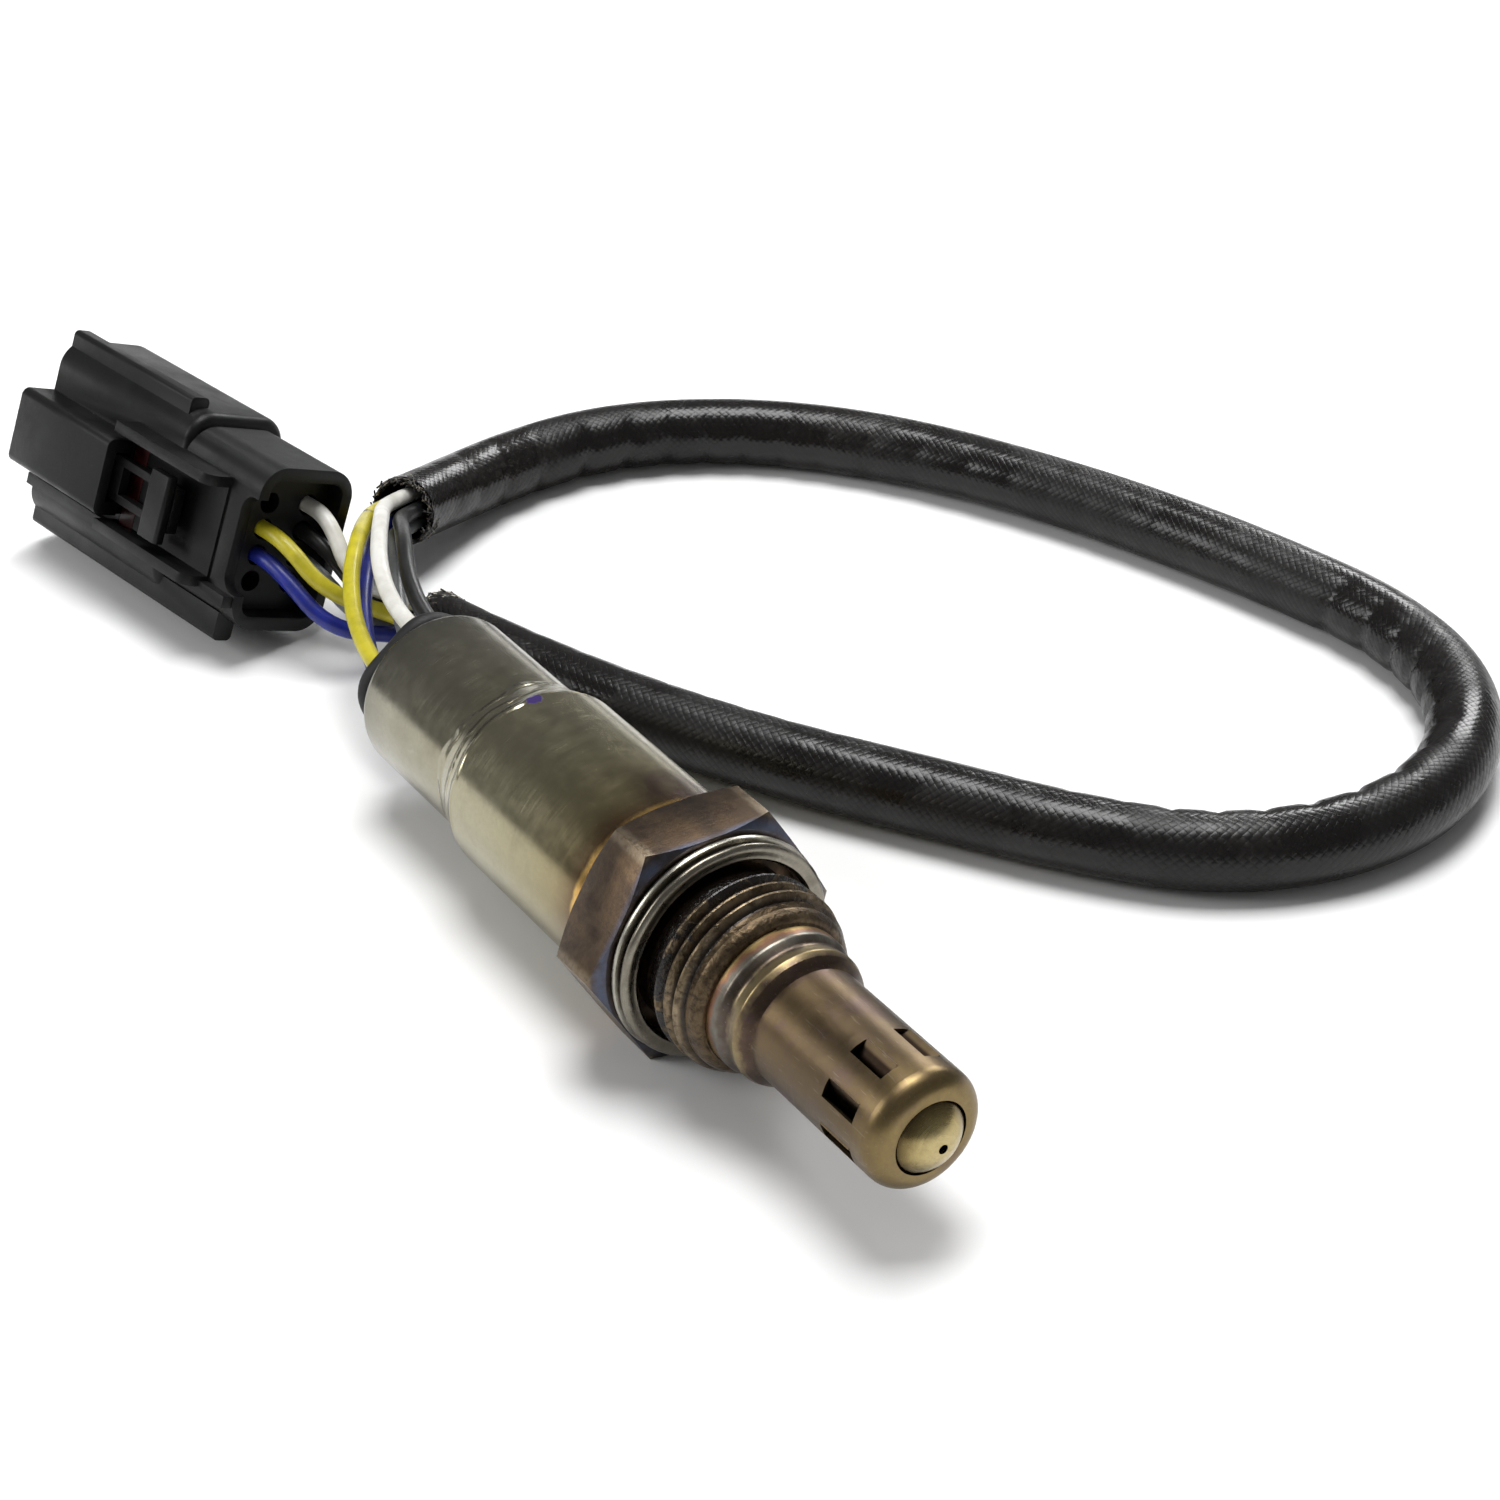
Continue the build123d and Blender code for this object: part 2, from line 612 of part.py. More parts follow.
def holder_ring():
    """Sprung ring that centres the terminal holder in the rear sleeve."""
    x1 = HOLDER_REAR_X + HOLDER_FLANGE_THICK + HOLDER_RING_LENGTH
    x0 = HOLDER_REAR_X + HOLDER_FLANGE_THICK
    ring = rod(x0, x1, SLEEVE_SMALL_D / 2 - SLEEVE_WALL - HOLDER_RING_GAP)
    return ring - rod(x0 - 1, x1 + 1, HOLDER_D / 2 + HOLDER_RING_GAP)


def grommet():
    """Rubber seal at the back of the sensor, with five lead holes and a head outside the rim."""
    head_r, body_r = GROMMET_HEAD_D / 2, GROMMET_D / 2
    front = HOLDER_REAR_X - 0.2
    seal = turned([
        (front, 0), (front, body_r - 0.4), (front - 0.4, body_r),
        (SLEEVE_RIM_X + SLEEVE_WALL, body_r), (SLEEVE_RIM_X + SLEEVE_WALL, head_r),
        (GROMMET_END_X + 0.5, head_r), (GROMMET_END_X, head_r - 0.5), (GROMMET_END_X, 0),
    ])
    for lead in LEADS:
        seal -= rod(GROMMET_END_X - 1, front + 1, WIRE_D / 2 + GROMMET_FIT, *wire_hole(lead))
    return seal


# ---------------------------------------------------------------- plug, in its own frame
# X runs from the mating end to the leads, Y from the latch side to the back, Z up its height.

def way(lead):
    """Centre of the way that a lead goes to."""
    return lead.row * ROW_PITCH / 2, lead.height


def way_places():
    """Centre of every way."""
    heights = [WAY_PITCH * (i - (WAYS_PER_ROW - 1) / 2) for i in range(WAYS_PER_ROW)]
    return [(row * ROW_PITCH / 2, height) for row in (-1, 1) for height in heights]


def shell_section_bar(x0, x1, width, thick):
    """Part of the plug's outer body with rounded corners."""
    return rounded_bar(x0, x1, thick, width, PLUG_CORNER_R)


def plug_ribs():
    """Guide ribs at the top and the bottom of the latch side."""
    half = PLUG_WIDTH / 2
    y0 = NEAR + 1.0
    ribs = []
    for side, length in ((1, RIB_LENGTH), (-1, RAIL_LENGTH)):
        z_in, z_out = sorted((side * (half - 2.2), side * (half + RIB_RISE)))
        rib = block(0, length, y0, y0 + RIB_WIDTH, z_in, z_out)
        top = rib.faces().sort_by(Axis.Z)[-1 if side > 0 else 0]
        ribs.append(fillet(top.edges().filter_by(Axis.X), 0.6))
    lower = block(0, RAIL_LENGTH + 2.5, NEAR - 0.9, NEAR + 1.2, -half + 3.6, -half + 4.9)
    return ribs + [lower]


def latch():
    """Bridge, guard walls and the latch arm that passes under the bridge."""
    top = NEAR - BLOCK_RISE
    half = BLOCK_WIDTH / 2
    bridge = block(0, BLOCK_LENGTH, top, NEAR + 0.5, -half, half)
    bridge = fillet(bridge.faces().sort_by(Axis.Y)[0].edges().filter_by(Axis.X), 0.9)
    tunnel_top = NEAR - TUNNEL_HEIGHT - 0.6
    bridge -= block(-1, BLOCK_LENGTH + 1, tunnel_top, NEAR - 0.4, -TUNNEL_WIDTH / 2, TUNNEL_WIDTH / 2)
    arm_y = NEAR - 0.8 - ARM_THICK
    arm = block(1.0, ARM_END, arm_y, arm_y + ARM_THICK, -ARM_WIDTH / 2, ARM_WIDTH / 2)
    arm += block(1.0, 3.0, arm_y, NEAR + 0.2, -ARM_WIDTH / 2, ARM_WIDTH / 2)
    arm -= block(ARM_WINDOW[0], ARM_WINDOW[1], arm_y - 1, NEAR - 0.1, -1.6, 1.6)
    pad_half = ARM_WIDTH / 2 + PAD_LIP
    pad = block(ARM_END - PAD_LENGTH, ARM_END, arm_y - 1.2, arm_y + 0.1, -pad_half, pad_half)
    arm += fillet(pad.edges().filter_by(Axis.Z), 0.4)
    half = GUARD_WIDTH / 2
    guard_top = NEAR - GUARD_RISE
    guard = block(BLOCK_LENGTH - 1.0, GUARD_END, guard_top, NEAR + 0.5, -half, half)
    half -= GUARD_WALL
    guard -= block(BLOCK_LENGTH - 2, GUARD_END + 1, guard_top - 1, NEAR, -half, half)
    ends = [e for e in guard.edges().filter_by(Axis.Z)
            if abs(e.center().X - GUARD_END) + abs(e.center().Y - guard_top) < 0.01]
    guard = fillet(ends, GUARD_END_R)
    return [bridge, arm, guard]


def plug_housing():
    """Moulded socket housing: outer shell, inner tower, latch, ribs and the rear hood."""
    body = shell_section_bar(0, PLUG_SHELL_LENGTH, PLUG_WIDTH, PLUG_THICK)
    body = fillet(body.faces().sort_by(Axis.X)[-1].edges(), PLUG_SHELL_END_R)
    body += shell_section_bar(PLUG_SHELL_LENGTH - 1, PLUG_LENGTH, PLUG_REAR_WIDTH, PLUG_THICK - 0.6)
    for piece in plug_ribs() + latch():
        body += piece
    inner_thick, inner_width = PLUG_THICK - 2 * PLUG_WALL, PLUG_WIDTH - 2 * PLUG_WALL
    ring_space = rounded_bar(-1, PLUG_CAVITY_DEPTH, inner_thick, inner_width, 2.2)
    tower = rounded_bar(TOWER_FRONT, PLUG_CAVITY_DEPTH + 1, TOWER_THICK, TOWER_WIDTH, 1.0)
    body = body - ring_space + tower
    body -= rounded_bar(MAT_FRONT, PLUG_LENGTH + 1, MAT_THICK, MAT_WIDTH, 1.5)
    hood_x, half = PLUG_LENGTH - HOOD_DEPTH, NOTCH_WIDTH / 2
    notch = block(hood_x, PLUG_LENGTH + 1, NEAR - 1, 0.1 - MAT_THICK / 2, -half, half)
    body -= fillet(notch.faces().sort_by(Axis.X)[0].edges().filter_by(Axis.Y), NOTCH_R)
    for y, height in way_places():
        body -= square_bar(TOWER_FRONT - 1, MAT_FRONT + 1, CAVITY_SIDE, y, height)
    return body - lock_bar(LOCK_FIT)


def lock_bar(gap=0.0):
    """Outline of the bar that crosses the ways from the latch side."""
    rear, depth, half = LOCK_FRONT + LOCK_LENGTH, NEAR + LOCK_DEPTH, LOCK_WIDTH / 2
    return block(LOCK_FRONT - gap, rear + gap, NEAR - 10 * gap, depth + gap, -half - gap, half + gap)


def terminal_lock():
    """Bar pushed in under the latch arm, which keeps the terminals in their ways."""
    bar = lock_bar()
    for y, height in way_places():
        bar -= square_bar(LOCK_FRONT - 1, LOCK_FRONT + LOCK_LENGTH + 1, CAVITY_SIDE, y, height)
    return bar


def ring_seal():
    """Silicone ring round the root of the inner tower."""
    x0 = PLUG_CAVITY_DEPTH - RING_SEAL_LENGTH
    outer_t = PLUG_THICK - 2 * PLUG_WALL - 0.3
    outer = rounded_bar(x0, PLUG_CAVITY_DEPTH, outer_t, TOWER_WIDTH + 2.4, 2.0)
    return outer - rounded_bar(x0 - 1, PLUG_CAVITY_DEPTH + 1, TOWER_THICK, TOWER_WIDTH, 1.0)


def wire_seal():
    """Silicone mat that every lead passes through; the spare ways are closed."""
    mat = rounded_bar(MAT_FRONT, COVER_FRONT, MAT_THICK - MAT_FIT, MAT_WIDTH - MAT_FIT, 1.4)
    for lead in LEADS:
        mat -= rod(MAT_FRONT - 1, COVER_FRONT + 1, WIRE_D / 2 + WIRE_FIT, *way(lead))
    return mat


def seal_cover():
    """Rear cap that holds the seal mat, with a round hole for each way."""
    rear = COVER_FRONT + COVER_LENGTH
    cap = rounded_bar(COVER_FRONT, rear, MAT_THICK - MAT_FIT, MAT_WIDTH - MAT_FIT, 1.4)
    for y, height in way_places():
        cap -= rod(COVER_FRONT - 1, rear + 1, WIRE_D / 2 + COVER_HOLE_FIT, y, height)
    return cap


def plug_terminal(y, height):
    """Socket terminal: a box for the mating blade, a neck and the barrel on the lead."""
    x1 = TERMINAL_FRONT + TERMINAL_BOX_LENGTH
    x2 = x1 + TERMINAL_NECK_LENGTH
    box = square_bar(TERMINAL_FRONT, x1, TERMINAL_SIDE, y, height)
    box -= square_bar(TERMINAL_FRONT - 1, x1 - 1, TERMINAL_BORE, y, height)
    neck = block(x1 - 0.5, x2 + 0.5, y - 0.5, y + 0.5, height - 0.3, height + 0.3)
    barrel = rod(x2, x2 + TERMINAL_BARREL_LENGTH, TERMINAL_SIDE / 2 + 0.08, y, height)
    whole = box + neck + barrel
    return whole - rod(x2 + 1.0, x2 + TERMINAL_BARREL_LENGTH + 1, WIRE_D / 2 + WIRE_FIT, y, height)


def seated_plug():
    """The plug's place: turned and rolled, with its lowest point on the floor."""
    attitude = Rot(Z=PLUG_TURN_DEG) * Rot(X=-PLUG_ROLL_DEG)
    housing = plug_housing()
    low = (attitude * housing).bounding_box().min.Z
    return Pos(PLUG_AT[0], PLUG_AT[1], FLOOR_Z - low) * attitude, housing


# ---------------------------------------------------------------- leads

def lead_route(lead, plug_place):
    """One lead's own route: sensor, bundle, braided sleeve, and its turn into the plug."""
    bundle = SENSOR_RUN + [(*point, BUNDLE_R) for point in BRAID_RUN[1:-1] + [BUNDLE_END]]
    y, z = way(lead)
    barrel_x = TERMINAL_FRONT + TERMINAL_BOX_LENGTH + TERMINAL_NECK_LENGTH + 1.0
    in_plug = [(PLUG_LENGTH + lead.exit_length, z), (PLUG_LENGTH - 4.0, z + 0.03), (barrel_x, z)]
    spots = [(plug_place * Pos(x, y, z_here)).position for x, z_here in in_plug]
    return beside(bundle, *lead_place(lead)) + [lead.turn] + [tuple(spot) for spot in spots]


# ---------------------------------------------------------------- the whole part

def build():
    """Every node by name."""
    nodes = {
        "threaded_shell": threaded_shell(),
        "gasket": gasket(),
        "outer_protection_tube": outer_protection_tube(),
        "inner_protection_tube": inner_protection_tube(),
        "sensing_element": sensing_element(),
        "front_ceramic": front_ceramic(),
        "talc_packing": talc_packing(),
        "rear_bush": rear_bush(),
        "packing_ring": packing_ring(),
        "rear_sleeve": rear_sleeve(),
        "terminal_holder": terminal_holder(),
        "holder_ring": holder_ring(),
        "grommet": grommet(),
    }
    place, housing = seated_plug()
    nodes["plug_housing"] = place * housing
    nodes["terminal_lock"] = place * terminal_lock()
    nodes["ring_seal"] = place * ring_seal()
    nodes["wire_seal"] = place * wire_seal()
    nodes["seal_cover"] = place * seal_cover()
    for lead in LEADS:
        name = f"wire_{lead.name}"
        nodes[f"element_contact_{lead.name}"] = element_contact(lead)
        nodes[f"plug_terminal_{lead.name}"] = place * plug_terminal(*way(lead))
        nodes[name] = cord(name, lead_route(lead, place), WIRE_D)
    nodes["braided_sleeve"] = cord("braided_sleeve", BRAID_RUN, BRAID_D, BRAID_ID)
    return nodes


def main():
    os.makedirs("parts", exist_ok=True)
    for name, solid in build().items():
        export_step(solid, f"parts/{name}.step")


main()
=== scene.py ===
"""Wide-band exhaust oxygen sensor with a braided lead and an eight-way plug, dressed on its solids."""
import logging
import random
from dataclasses import dataclass
from enum import Enum
from math import atan2, cos, hypot, pi, radians, sin
from typing import Any, Callable, Optional, Sequence, Union

import bpy
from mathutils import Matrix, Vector


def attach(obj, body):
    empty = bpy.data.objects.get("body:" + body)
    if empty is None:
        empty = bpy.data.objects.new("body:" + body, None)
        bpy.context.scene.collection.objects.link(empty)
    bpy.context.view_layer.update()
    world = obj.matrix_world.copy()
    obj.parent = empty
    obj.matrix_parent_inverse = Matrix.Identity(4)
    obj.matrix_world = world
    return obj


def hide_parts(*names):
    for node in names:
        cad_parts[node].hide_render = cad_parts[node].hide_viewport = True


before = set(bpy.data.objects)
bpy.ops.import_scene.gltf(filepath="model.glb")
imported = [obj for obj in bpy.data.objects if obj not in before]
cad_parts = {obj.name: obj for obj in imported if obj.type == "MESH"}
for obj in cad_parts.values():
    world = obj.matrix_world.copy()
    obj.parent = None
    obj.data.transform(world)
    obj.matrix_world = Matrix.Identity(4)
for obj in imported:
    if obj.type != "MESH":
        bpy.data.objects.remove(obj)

log = logging.getLogger("oxygen_sensor")

MM = 0.001
DOUBLED = 1e-6
Point = tuple[float, float, float]
Profile = Sequence[tuple[float, float]]


# ---------------------------------------------------------------- modelling helpers

def tint(code: str) -> tuple[float, float, float, float]:
    """Turn a six-digit display colour into the shader's linear colour.

    Args:
        code: red, green and blue as hexadecimal pairs.

    Returns:
        Linear red, green, blue and a full alpha.
    """
    parts = [int(code[i:i + 2], 16) / 255 for i in (0, 2, 4)]
    linear = [c / 12.92 if c <= 0.04045 else ((c + 0.055) / 1.055) ** 2.4 for c in parts]
    return (linear[0], linear[1], linear[2], 1.0)


def deselect() -> None:
    """Leave nothing selected, so that an operator acts only on what is chosen next."""
    bpy.ops.object.select_all(action="DESELECT")


def take(piece: bpy.types.Object) -> None:
    """Select one object alone and make it active.

    Args:
        piece: the object.
    """
    deselect()
    piece.select_set(True)
    bpy.context.view_layer.objects.active = piece


def named(name: str) -> bpy.types.Object:
    """Name the active object, which an operator has just made, and its data.

    Args:
        name: its new name.

    Returns:
        The object.
    """
    piece = bpy.context.active_object
    piece.name = name
    piece.data.name = name
    return piece


def linked(name: str, data: Union[bpy.types.Mesh, bpy.types.Curve]) -> bpy.types.Object:
    """Put a mesh or a curve into the scene as an object of the same name.

    Args:
        name: the object's name.
        data: its mesh or curve.

    Returns:
        The object.
    """
    piece = bpy.data.objects.new(name, data)
    bpy.context.scene.collection.objects.link(piece)
    return piece


def settle(piece: bpy.types.Object) -> bpy.types.Object:
    """Put a piece's place into its mesh, so that the object sits at the origin.

    Args:
        piece: the piece.

    Returns:
        The same piece.
    """
    take(piece)
    bpy.ops.object.transform_apply(location=True, rotation=True, scale=True)
    return piece


def apply_modifier(piece: bpy.types.Object, kind: str, **settings: Any) -> None:
    """Add a modifier, set it and apply it.

    Args:
        piece: the object that gets it.
        kind: Blender's name for the modifier's type.
        settings: its properties by name.
    """
    take(piece)
    modifier = piece.modifiers.new(kind.title(), kind)
    for key, value in settings.items():
        setattr(modifier, key, value)
    bpy.ops.object.modifier_apply(modifier=modifier.name)


def smooth(piece: bpy.types.Object, degrees: float) -> None:
    """Shade a piece smooth, with edges sharper than the given angle kept crisp.

    Args:
        piece: the mesh object.
        degrees: the angle.
    """
    take(piece)
    bpy.ops.object.shade_smooth_by_angle(angle=radians(degrees))


def weld(piece: bpy.types.Object) -> None:
    """Merge a mesh's doubled points and turn all its faces outwards.

    Args:
        piece: the mesh object.
    """
    take(piece)
    bpy.ops.object.mode_set(mode="EDIT")
    bpy.ops.mesh.select_all(action="SELECT")
    bpy.ops.mesh.remove_doubles(threshold=DOUBLED)
    bpy.ops.mesh.normals_make_consistent(inside=False)
    bpy.ops.object.mode_set(mode="OBJECT")


def join(name: str, pieces: Sequence[bpy.types.Object]) -> bpy.types.Object:
    """Join several meshes into one object.

    Args:
        name: name of the joined object.
        pieces: the meshes, all settled at the origin.

    Returns:
        The joined object.
    """
    take(pieces[0])
    for piece in pieces[1:]:
        piece.select_set(True)
    bpy.ops.object.join()
    return named(name)


def turn_up(name: str, outline: Profile, sides: int = 96) -> bpy.types.Object:
    """Turn a round piece about X: a ring is extruded and resized from station to station.

    Args:
        name: name of the piece.
        outline: (x, r) stations in millimetres, in order round the closed section.
        sides: vertices round the piece.

    Returns:
        The turned mesh, settled at the origin.
    """
    x0, r0 = outline[0]
    deselect()
    bpy.ops.mesh.primitive_circle_add(vertices=sides, radius=r0 * MM, fill_type="NOTHING",
                                      location=(x0 * MM, 0, 0), rotation=(0, pi / 2, 0))
    piece = settle(named(name))
    bpy.ops.object.mode_set(mode="EDIT")
    bpy.ops.mesh.select_mode(type="EDGE")
    bpy.ops.mesh.select_all(action="SELECT")
    for x, r in (*outline[1:], outline[0]):
        bpy.ops.mesh.extrude_edges_move()
        bpy.ops.transform.translate(value=((x - x0) * MM, 0, 0))
        bpy.ops.transform.resize(value=(1, r / r0, r / r0), center_override=(x * MM, 0, 0))
        x0, r0 = x, r
    bpy.ops.object.mode_set(mode="OBJECT")
    weld(piece)
    return piece


def soften(piece: bpy.types.Object, width_mm: float, degrees: float, edge_slot: int = -1) -> None:
    """Round the edges of a piece that are sharper than an angle.

    Args:
        piece: the piece.
        width_mm: width of the rounding.
        degrees: the angle.
        edge_slot: material slot of the rounded edges, or -1 for that of their neighbours.
    """
    apply_modifier(piece, "BEVEL", width=width_mm * MM, segments=2, limit_method="ANGLE",
                   angle_limit=radians(degrees), use_clamp_overlap=True, material=edge_slot)


def move_points(piece: bpy.types.Object, mover: Callable[[Vector], Vector]) -> None:
    """Move every point of a mesh by a rule.

    Args:
        piece: the mesh object.
        mover: gives a point's new place from its old one, in metres.
    """
    for vertex in piece.data.vertices:
        vertex.co = mover(vertex.co.copy())
    piece.data.update()


def add_spline(curve: bpy.types.Curve, places: Sequence[Union[Point, Vector]]) -> None:
    """Add one open, smooth line to a curve.

    Args:
        curve: the curve.
        places: the line's control points, in metres.
    """
    spline = curve.splines.new("NURBS")
    spline.points.add(len(places) - 1)
    for held, place in zip(spline.points, places):
        held.co = (*place, 1.0)
    spline.order_u = 3
    spline.use_endpoint_u = True


def centre_line(curve: bpy.types.Object) -> list[Vector]:
    """Points along a cord's own smooth line.

    Args:
        curve: a curve object with one spline and no bevel.

    Returns:
        The points in order from its start.
    """
    mesh = bpy.data.meshes.new_from_object(curve)
    points = [vertex.co.copy() for vertex in mesh.vertices]
    bpy.data.meshes.remove(mesh)
    return points


def run_length(points: Sequence[Vector]) -> float:
    """Length of a line through the points, in metres.

    Args:
        points: the points in order.

    Returns:
        The length.
    """
    return sum((b - a).length for a, b in zip(points, points[1:]))


# ---------------------------------------------------------------- shader graph

class Signal:
    """A value that varies over a surface: one node's output, with arithmetic that adds Math nodes."""

    def __init__(self, graph: "Graph", socket: bpy.types.NodeSocket) -> None:
        """Hold an output socket and the graph that it belongs to."""
        self.graph = graph
        self.socket = socket

    def __add__(self, other: "Feed") -> "Signal":
        """This value plus another."""
        return self.graph.math("ADD", self, other)

    def __sub__(self, other: "Feed") -> "Signal":
        """This value less another."""
        return self.graph.math("SUBTRACT", self, other)

    def __rsub__(self, other: float) -> "Signal":
        """A number less this value."""
        return self.graph.math("SUBTRACT", other, self)

    def __mul__(self, other: "Feed") -> "Signal":
        """This value times another."""
        return self.graph.math("MULTIPLY", self, other)


Feed = Union[Signal, float, str, tuple[float, ...]]


class Graph:
    """Builds one material's nodes, with its pattern space in millimetres of the sensor's frame."""

    def __init__(self, name: str, from_uv: bool = False) -> None:
        """Start a material with its shader and its pattern space.

        Args:
            name: the material's name.
            from_uv: read the piece's own UV map, already in millimetres, in place of object space.
        """
        self.material = bpy.data.materials.new(name)
        self.material.use_nodes = True
        self.tree = self.material.node_tree
        self.shader = self.tree.nodes["Principled BSDF"]
        space = self.put("ShaderNodeTexCoord")
        mapping = self.put("ShaderNodeMapping")
        scale = 1.0 if from_uv else 1 / MM
        mapping.inputs["Scale"].default_value = (scale, scale, scale)
        self.give(mapping.inputs["Vector"], Signal(self, space.outputs["UV" if from_uv else "Object"]))
        self.place = Signal(self, mapping.outputs["Vector"])
        split = self.put("ShaderNodeSeparateXYZ")
        self.give(split.inputs["Vector"], self.place)
        self.x, self.y, self.z = (Signal(self, split.outputs[axis]) for axis in "XYZ")

    def put(self, kind: str, **settings: Any) -> bpy.types.Node:
        """Add a node of a kind and set its properties.

        Args:
            kind: the node's type.
            settings: its properties by name.

        Returns:
            The node.
        """
        node = self.tree.nodes.new(kind)
        for key, value in settings.items():
            setattr(node, key, value)
        return node

    def give(self, socket: bpy.types.NodeSocket, value: Feed) -> None:
        """Feed a socket with a signal, a number, a vector or a display colour.

        Args:
            socket: the input socket.
            value: what it gets.
        """
        if isinstance(value, Signal):
            self.tree.links.new(value.socket, socket)
        else:
            socket.default_value = tint(value) if isinstance(value, str) else value

    def math(self, operation: str, *values: Feed, clamp: bool = False) -> Signal:
        """A Math node.

        Args:
            operation: the node's operation.
            values: its values, in order.
            clamp: keep the result between 0 and 1.

        Returns:
            The result.
        """
        node = self.put("ShaderNodeMath", operation=operation, use_clamp=clamp)
        for socket, value in zip(node.inputs, values):
            self.give(socket, value)
        return Signal(self, node.outputs[0])

    def stretched(self, fx: float, fy: float, fz: float) -> Signal:
        """The pattern space with each axis scaled.

        Args:
            fx: scale along X.
            fy: scale along Y.
            fz: scale along Z.

        Returns:
            The scaled space.
        """
        node = self.put("ShaderNodeVectorMath", operation="MULTIPLY")
        self.give(node.inputs[0], self.place)
        self.give(node.inputs[1], (fx, fy, fz))
        return Signal(self, node.outputs[0])

    def solid(self) -> Signal:
        """Object space in millimetres, whatever the pattern space is.

        Returns:
            The space.
        """
        space = self.put("ShaderNodeTexCoord")
        scaled = self.put("ShaderNodeVectorMath", operation="SCALE")
        self.give(scaled.inputs[0], Signal(self, space.outputs["Object"]))
        self.give(scaled.inputs["Scale"], 1 / MM)
        return Signal(self, scaled.outputs[0])

    def noise(self, scale: float, detail: float = 3.0, rough: float = 0.5, wander: float = 0.0,
              space: Optional[Signal] = None) -> Signal:
        """Cloudy noise.

        Args:
            scale: repeats to a millimetre.
            detail: octaves.
            rough: strength of the finer octaves.
            wander: distortion.
            space: vector to read in place of the pattern space.

        Returns:
            Its value.
        """
        node = self.put("ShaderNodeTexNoise")
        self.give(node.inputs["Vector"], space or self.place)
        for name, value in (("Scale", scale), ("Detail", detail), ("Roughness", rough),
                            ("Distortion", wander)):
            self.give(node.inputs[name], value)
        return Signal(self, node.outputs[0])

    def ramp(self, value: Feed, stops: Sequence[tuple[float, str]]) -> Signal:
        """A colour ramp.

        Args:
            value: where on the ramp.
            stops: places from 0 to 1 with display colours.

        Returns:
            The colour.
        """
        node = self.put("ShaderNodeValToRGB")
        band = node.color_ramp
        while len(band.elements) < len(stops):
            band.elements.new(1.0)
        for element, (place, code) in zip(band.elements, stops):
            element.position = place
            element.color = tint(code)
        self.give(node.inputs["Fac"], value)
        return Signal(self, node.outputs["Color"])

    def between(self, value: Feed, low: float, high: float, to_low: float = 0.0,
                to_high: float = 1.0) -> Signal:
        """Map a range of a value smoothly onto another range, held at both ends.

        Args:
            value: the value.
            low: start of its range.
            high: end of its range.
            to_low: what the start becomes.
            to_high: what the end becomes.

        Returns:
            The mapped value.
        """
        node = self.put("ShaderNodeMapRange", interpolation_type="SMOOTHSTEP")
        for name, number in (("Value", value), ("From Min", low), ("From Max", high), ("To Min", to_low),
                             ("To Max", to_high)):
            self.give(node.inputs[name], number)
        return Signal(self, node.outputs["Result"])

    def mix(self, share: Feed, a: Feed, b: Feed) -> Signal:
        """Mix two colours.

        Args:
            share: how much of the second.
            a: first colour, a signal or a display colour.
            b: second colour.

        Returns:
            The colour.
        """
        node = self.put("ShaderNodeMix", data_type="RGBA")
        share_in, colour_a, colour_b, colour_out = 0, 6, 7, 2
        for place, value in ((share_in, share), (colour_a, a), (colour_b, b)):
            self.give(node.inputs[place], value)
        return Signal(self, node.outputs[colour_out])

    def radius(self) -> Signal:
        """Distance from the sensor's axis, in millimetres."""
        return self.math("SQRT", self.y * self.y + self.z * self.z)

    def near(self, spot: Point, reach: float, edge: float) -> Signal:
        """1 within a distance of a spot, falling to 0 over an edge width, in millimetres.

        Args:
            spot: the spot.
            reach: the distance.
            edge: the edge width.

        Returns:
            How near each point is.
        """
        node = self.put("ShaderNodeVectorMath", operation="DISTANCE")
        self.give(node.inputs[0], self.place)
        self.give(node.inputs[1], spot)
        return self.between(Signal(self, node.outputs["Value"]), reach, reach + edge, 1.0, 0.0)

    def bump(self, height: Signal, depth_mm: float, under: Optional[Signal] = None) -> Signal:
        """Relief from a height between 0 and 1.

        Args:
            height: the height.
            depth_mm: relief from 0 to 1.
            under: normal of a coarser relief below this one.

        Returns:
            The normal.
        """
        node = self.put("ShaderNodeBump")
        self.give(node.inputs["Strength"], 1.0)
        self.give(node.inputs["Distance"], depth_mm * MM)
        self.give(node.inputs["Height"], height)
        if under is not None:
            self.give(node.inputs["Normal"], under)
        return Signal(self, node.outputs["Normal"])

    def finish(self, colour: Feed, roughness: Feed, normal: Optional[Signal] = None, metal: Feed = 0.0,
               specular: float = 0.5) -> bpy.types.Material:
        """Wire the shader and hand over the material.

        Args:
            colour: base colour.
            roughness: roughness.
            normal: normal.
            metal: metallic share.
            specular: specular level, on the shader's own socket.

        Returns:
            The finished material.
        """
        for name, value in (("Base Color", colour), ("Roughness", roughness), ("Metallic", metal),
                            ("Specular IOR Level", specular)):
            self.give(self.shader.inputs[name], value)
        if normal is not None:
            self.give(self.shader.inputs["Normal"], normal)
        return self.material


# ---------------------------------------------------------------- finishes

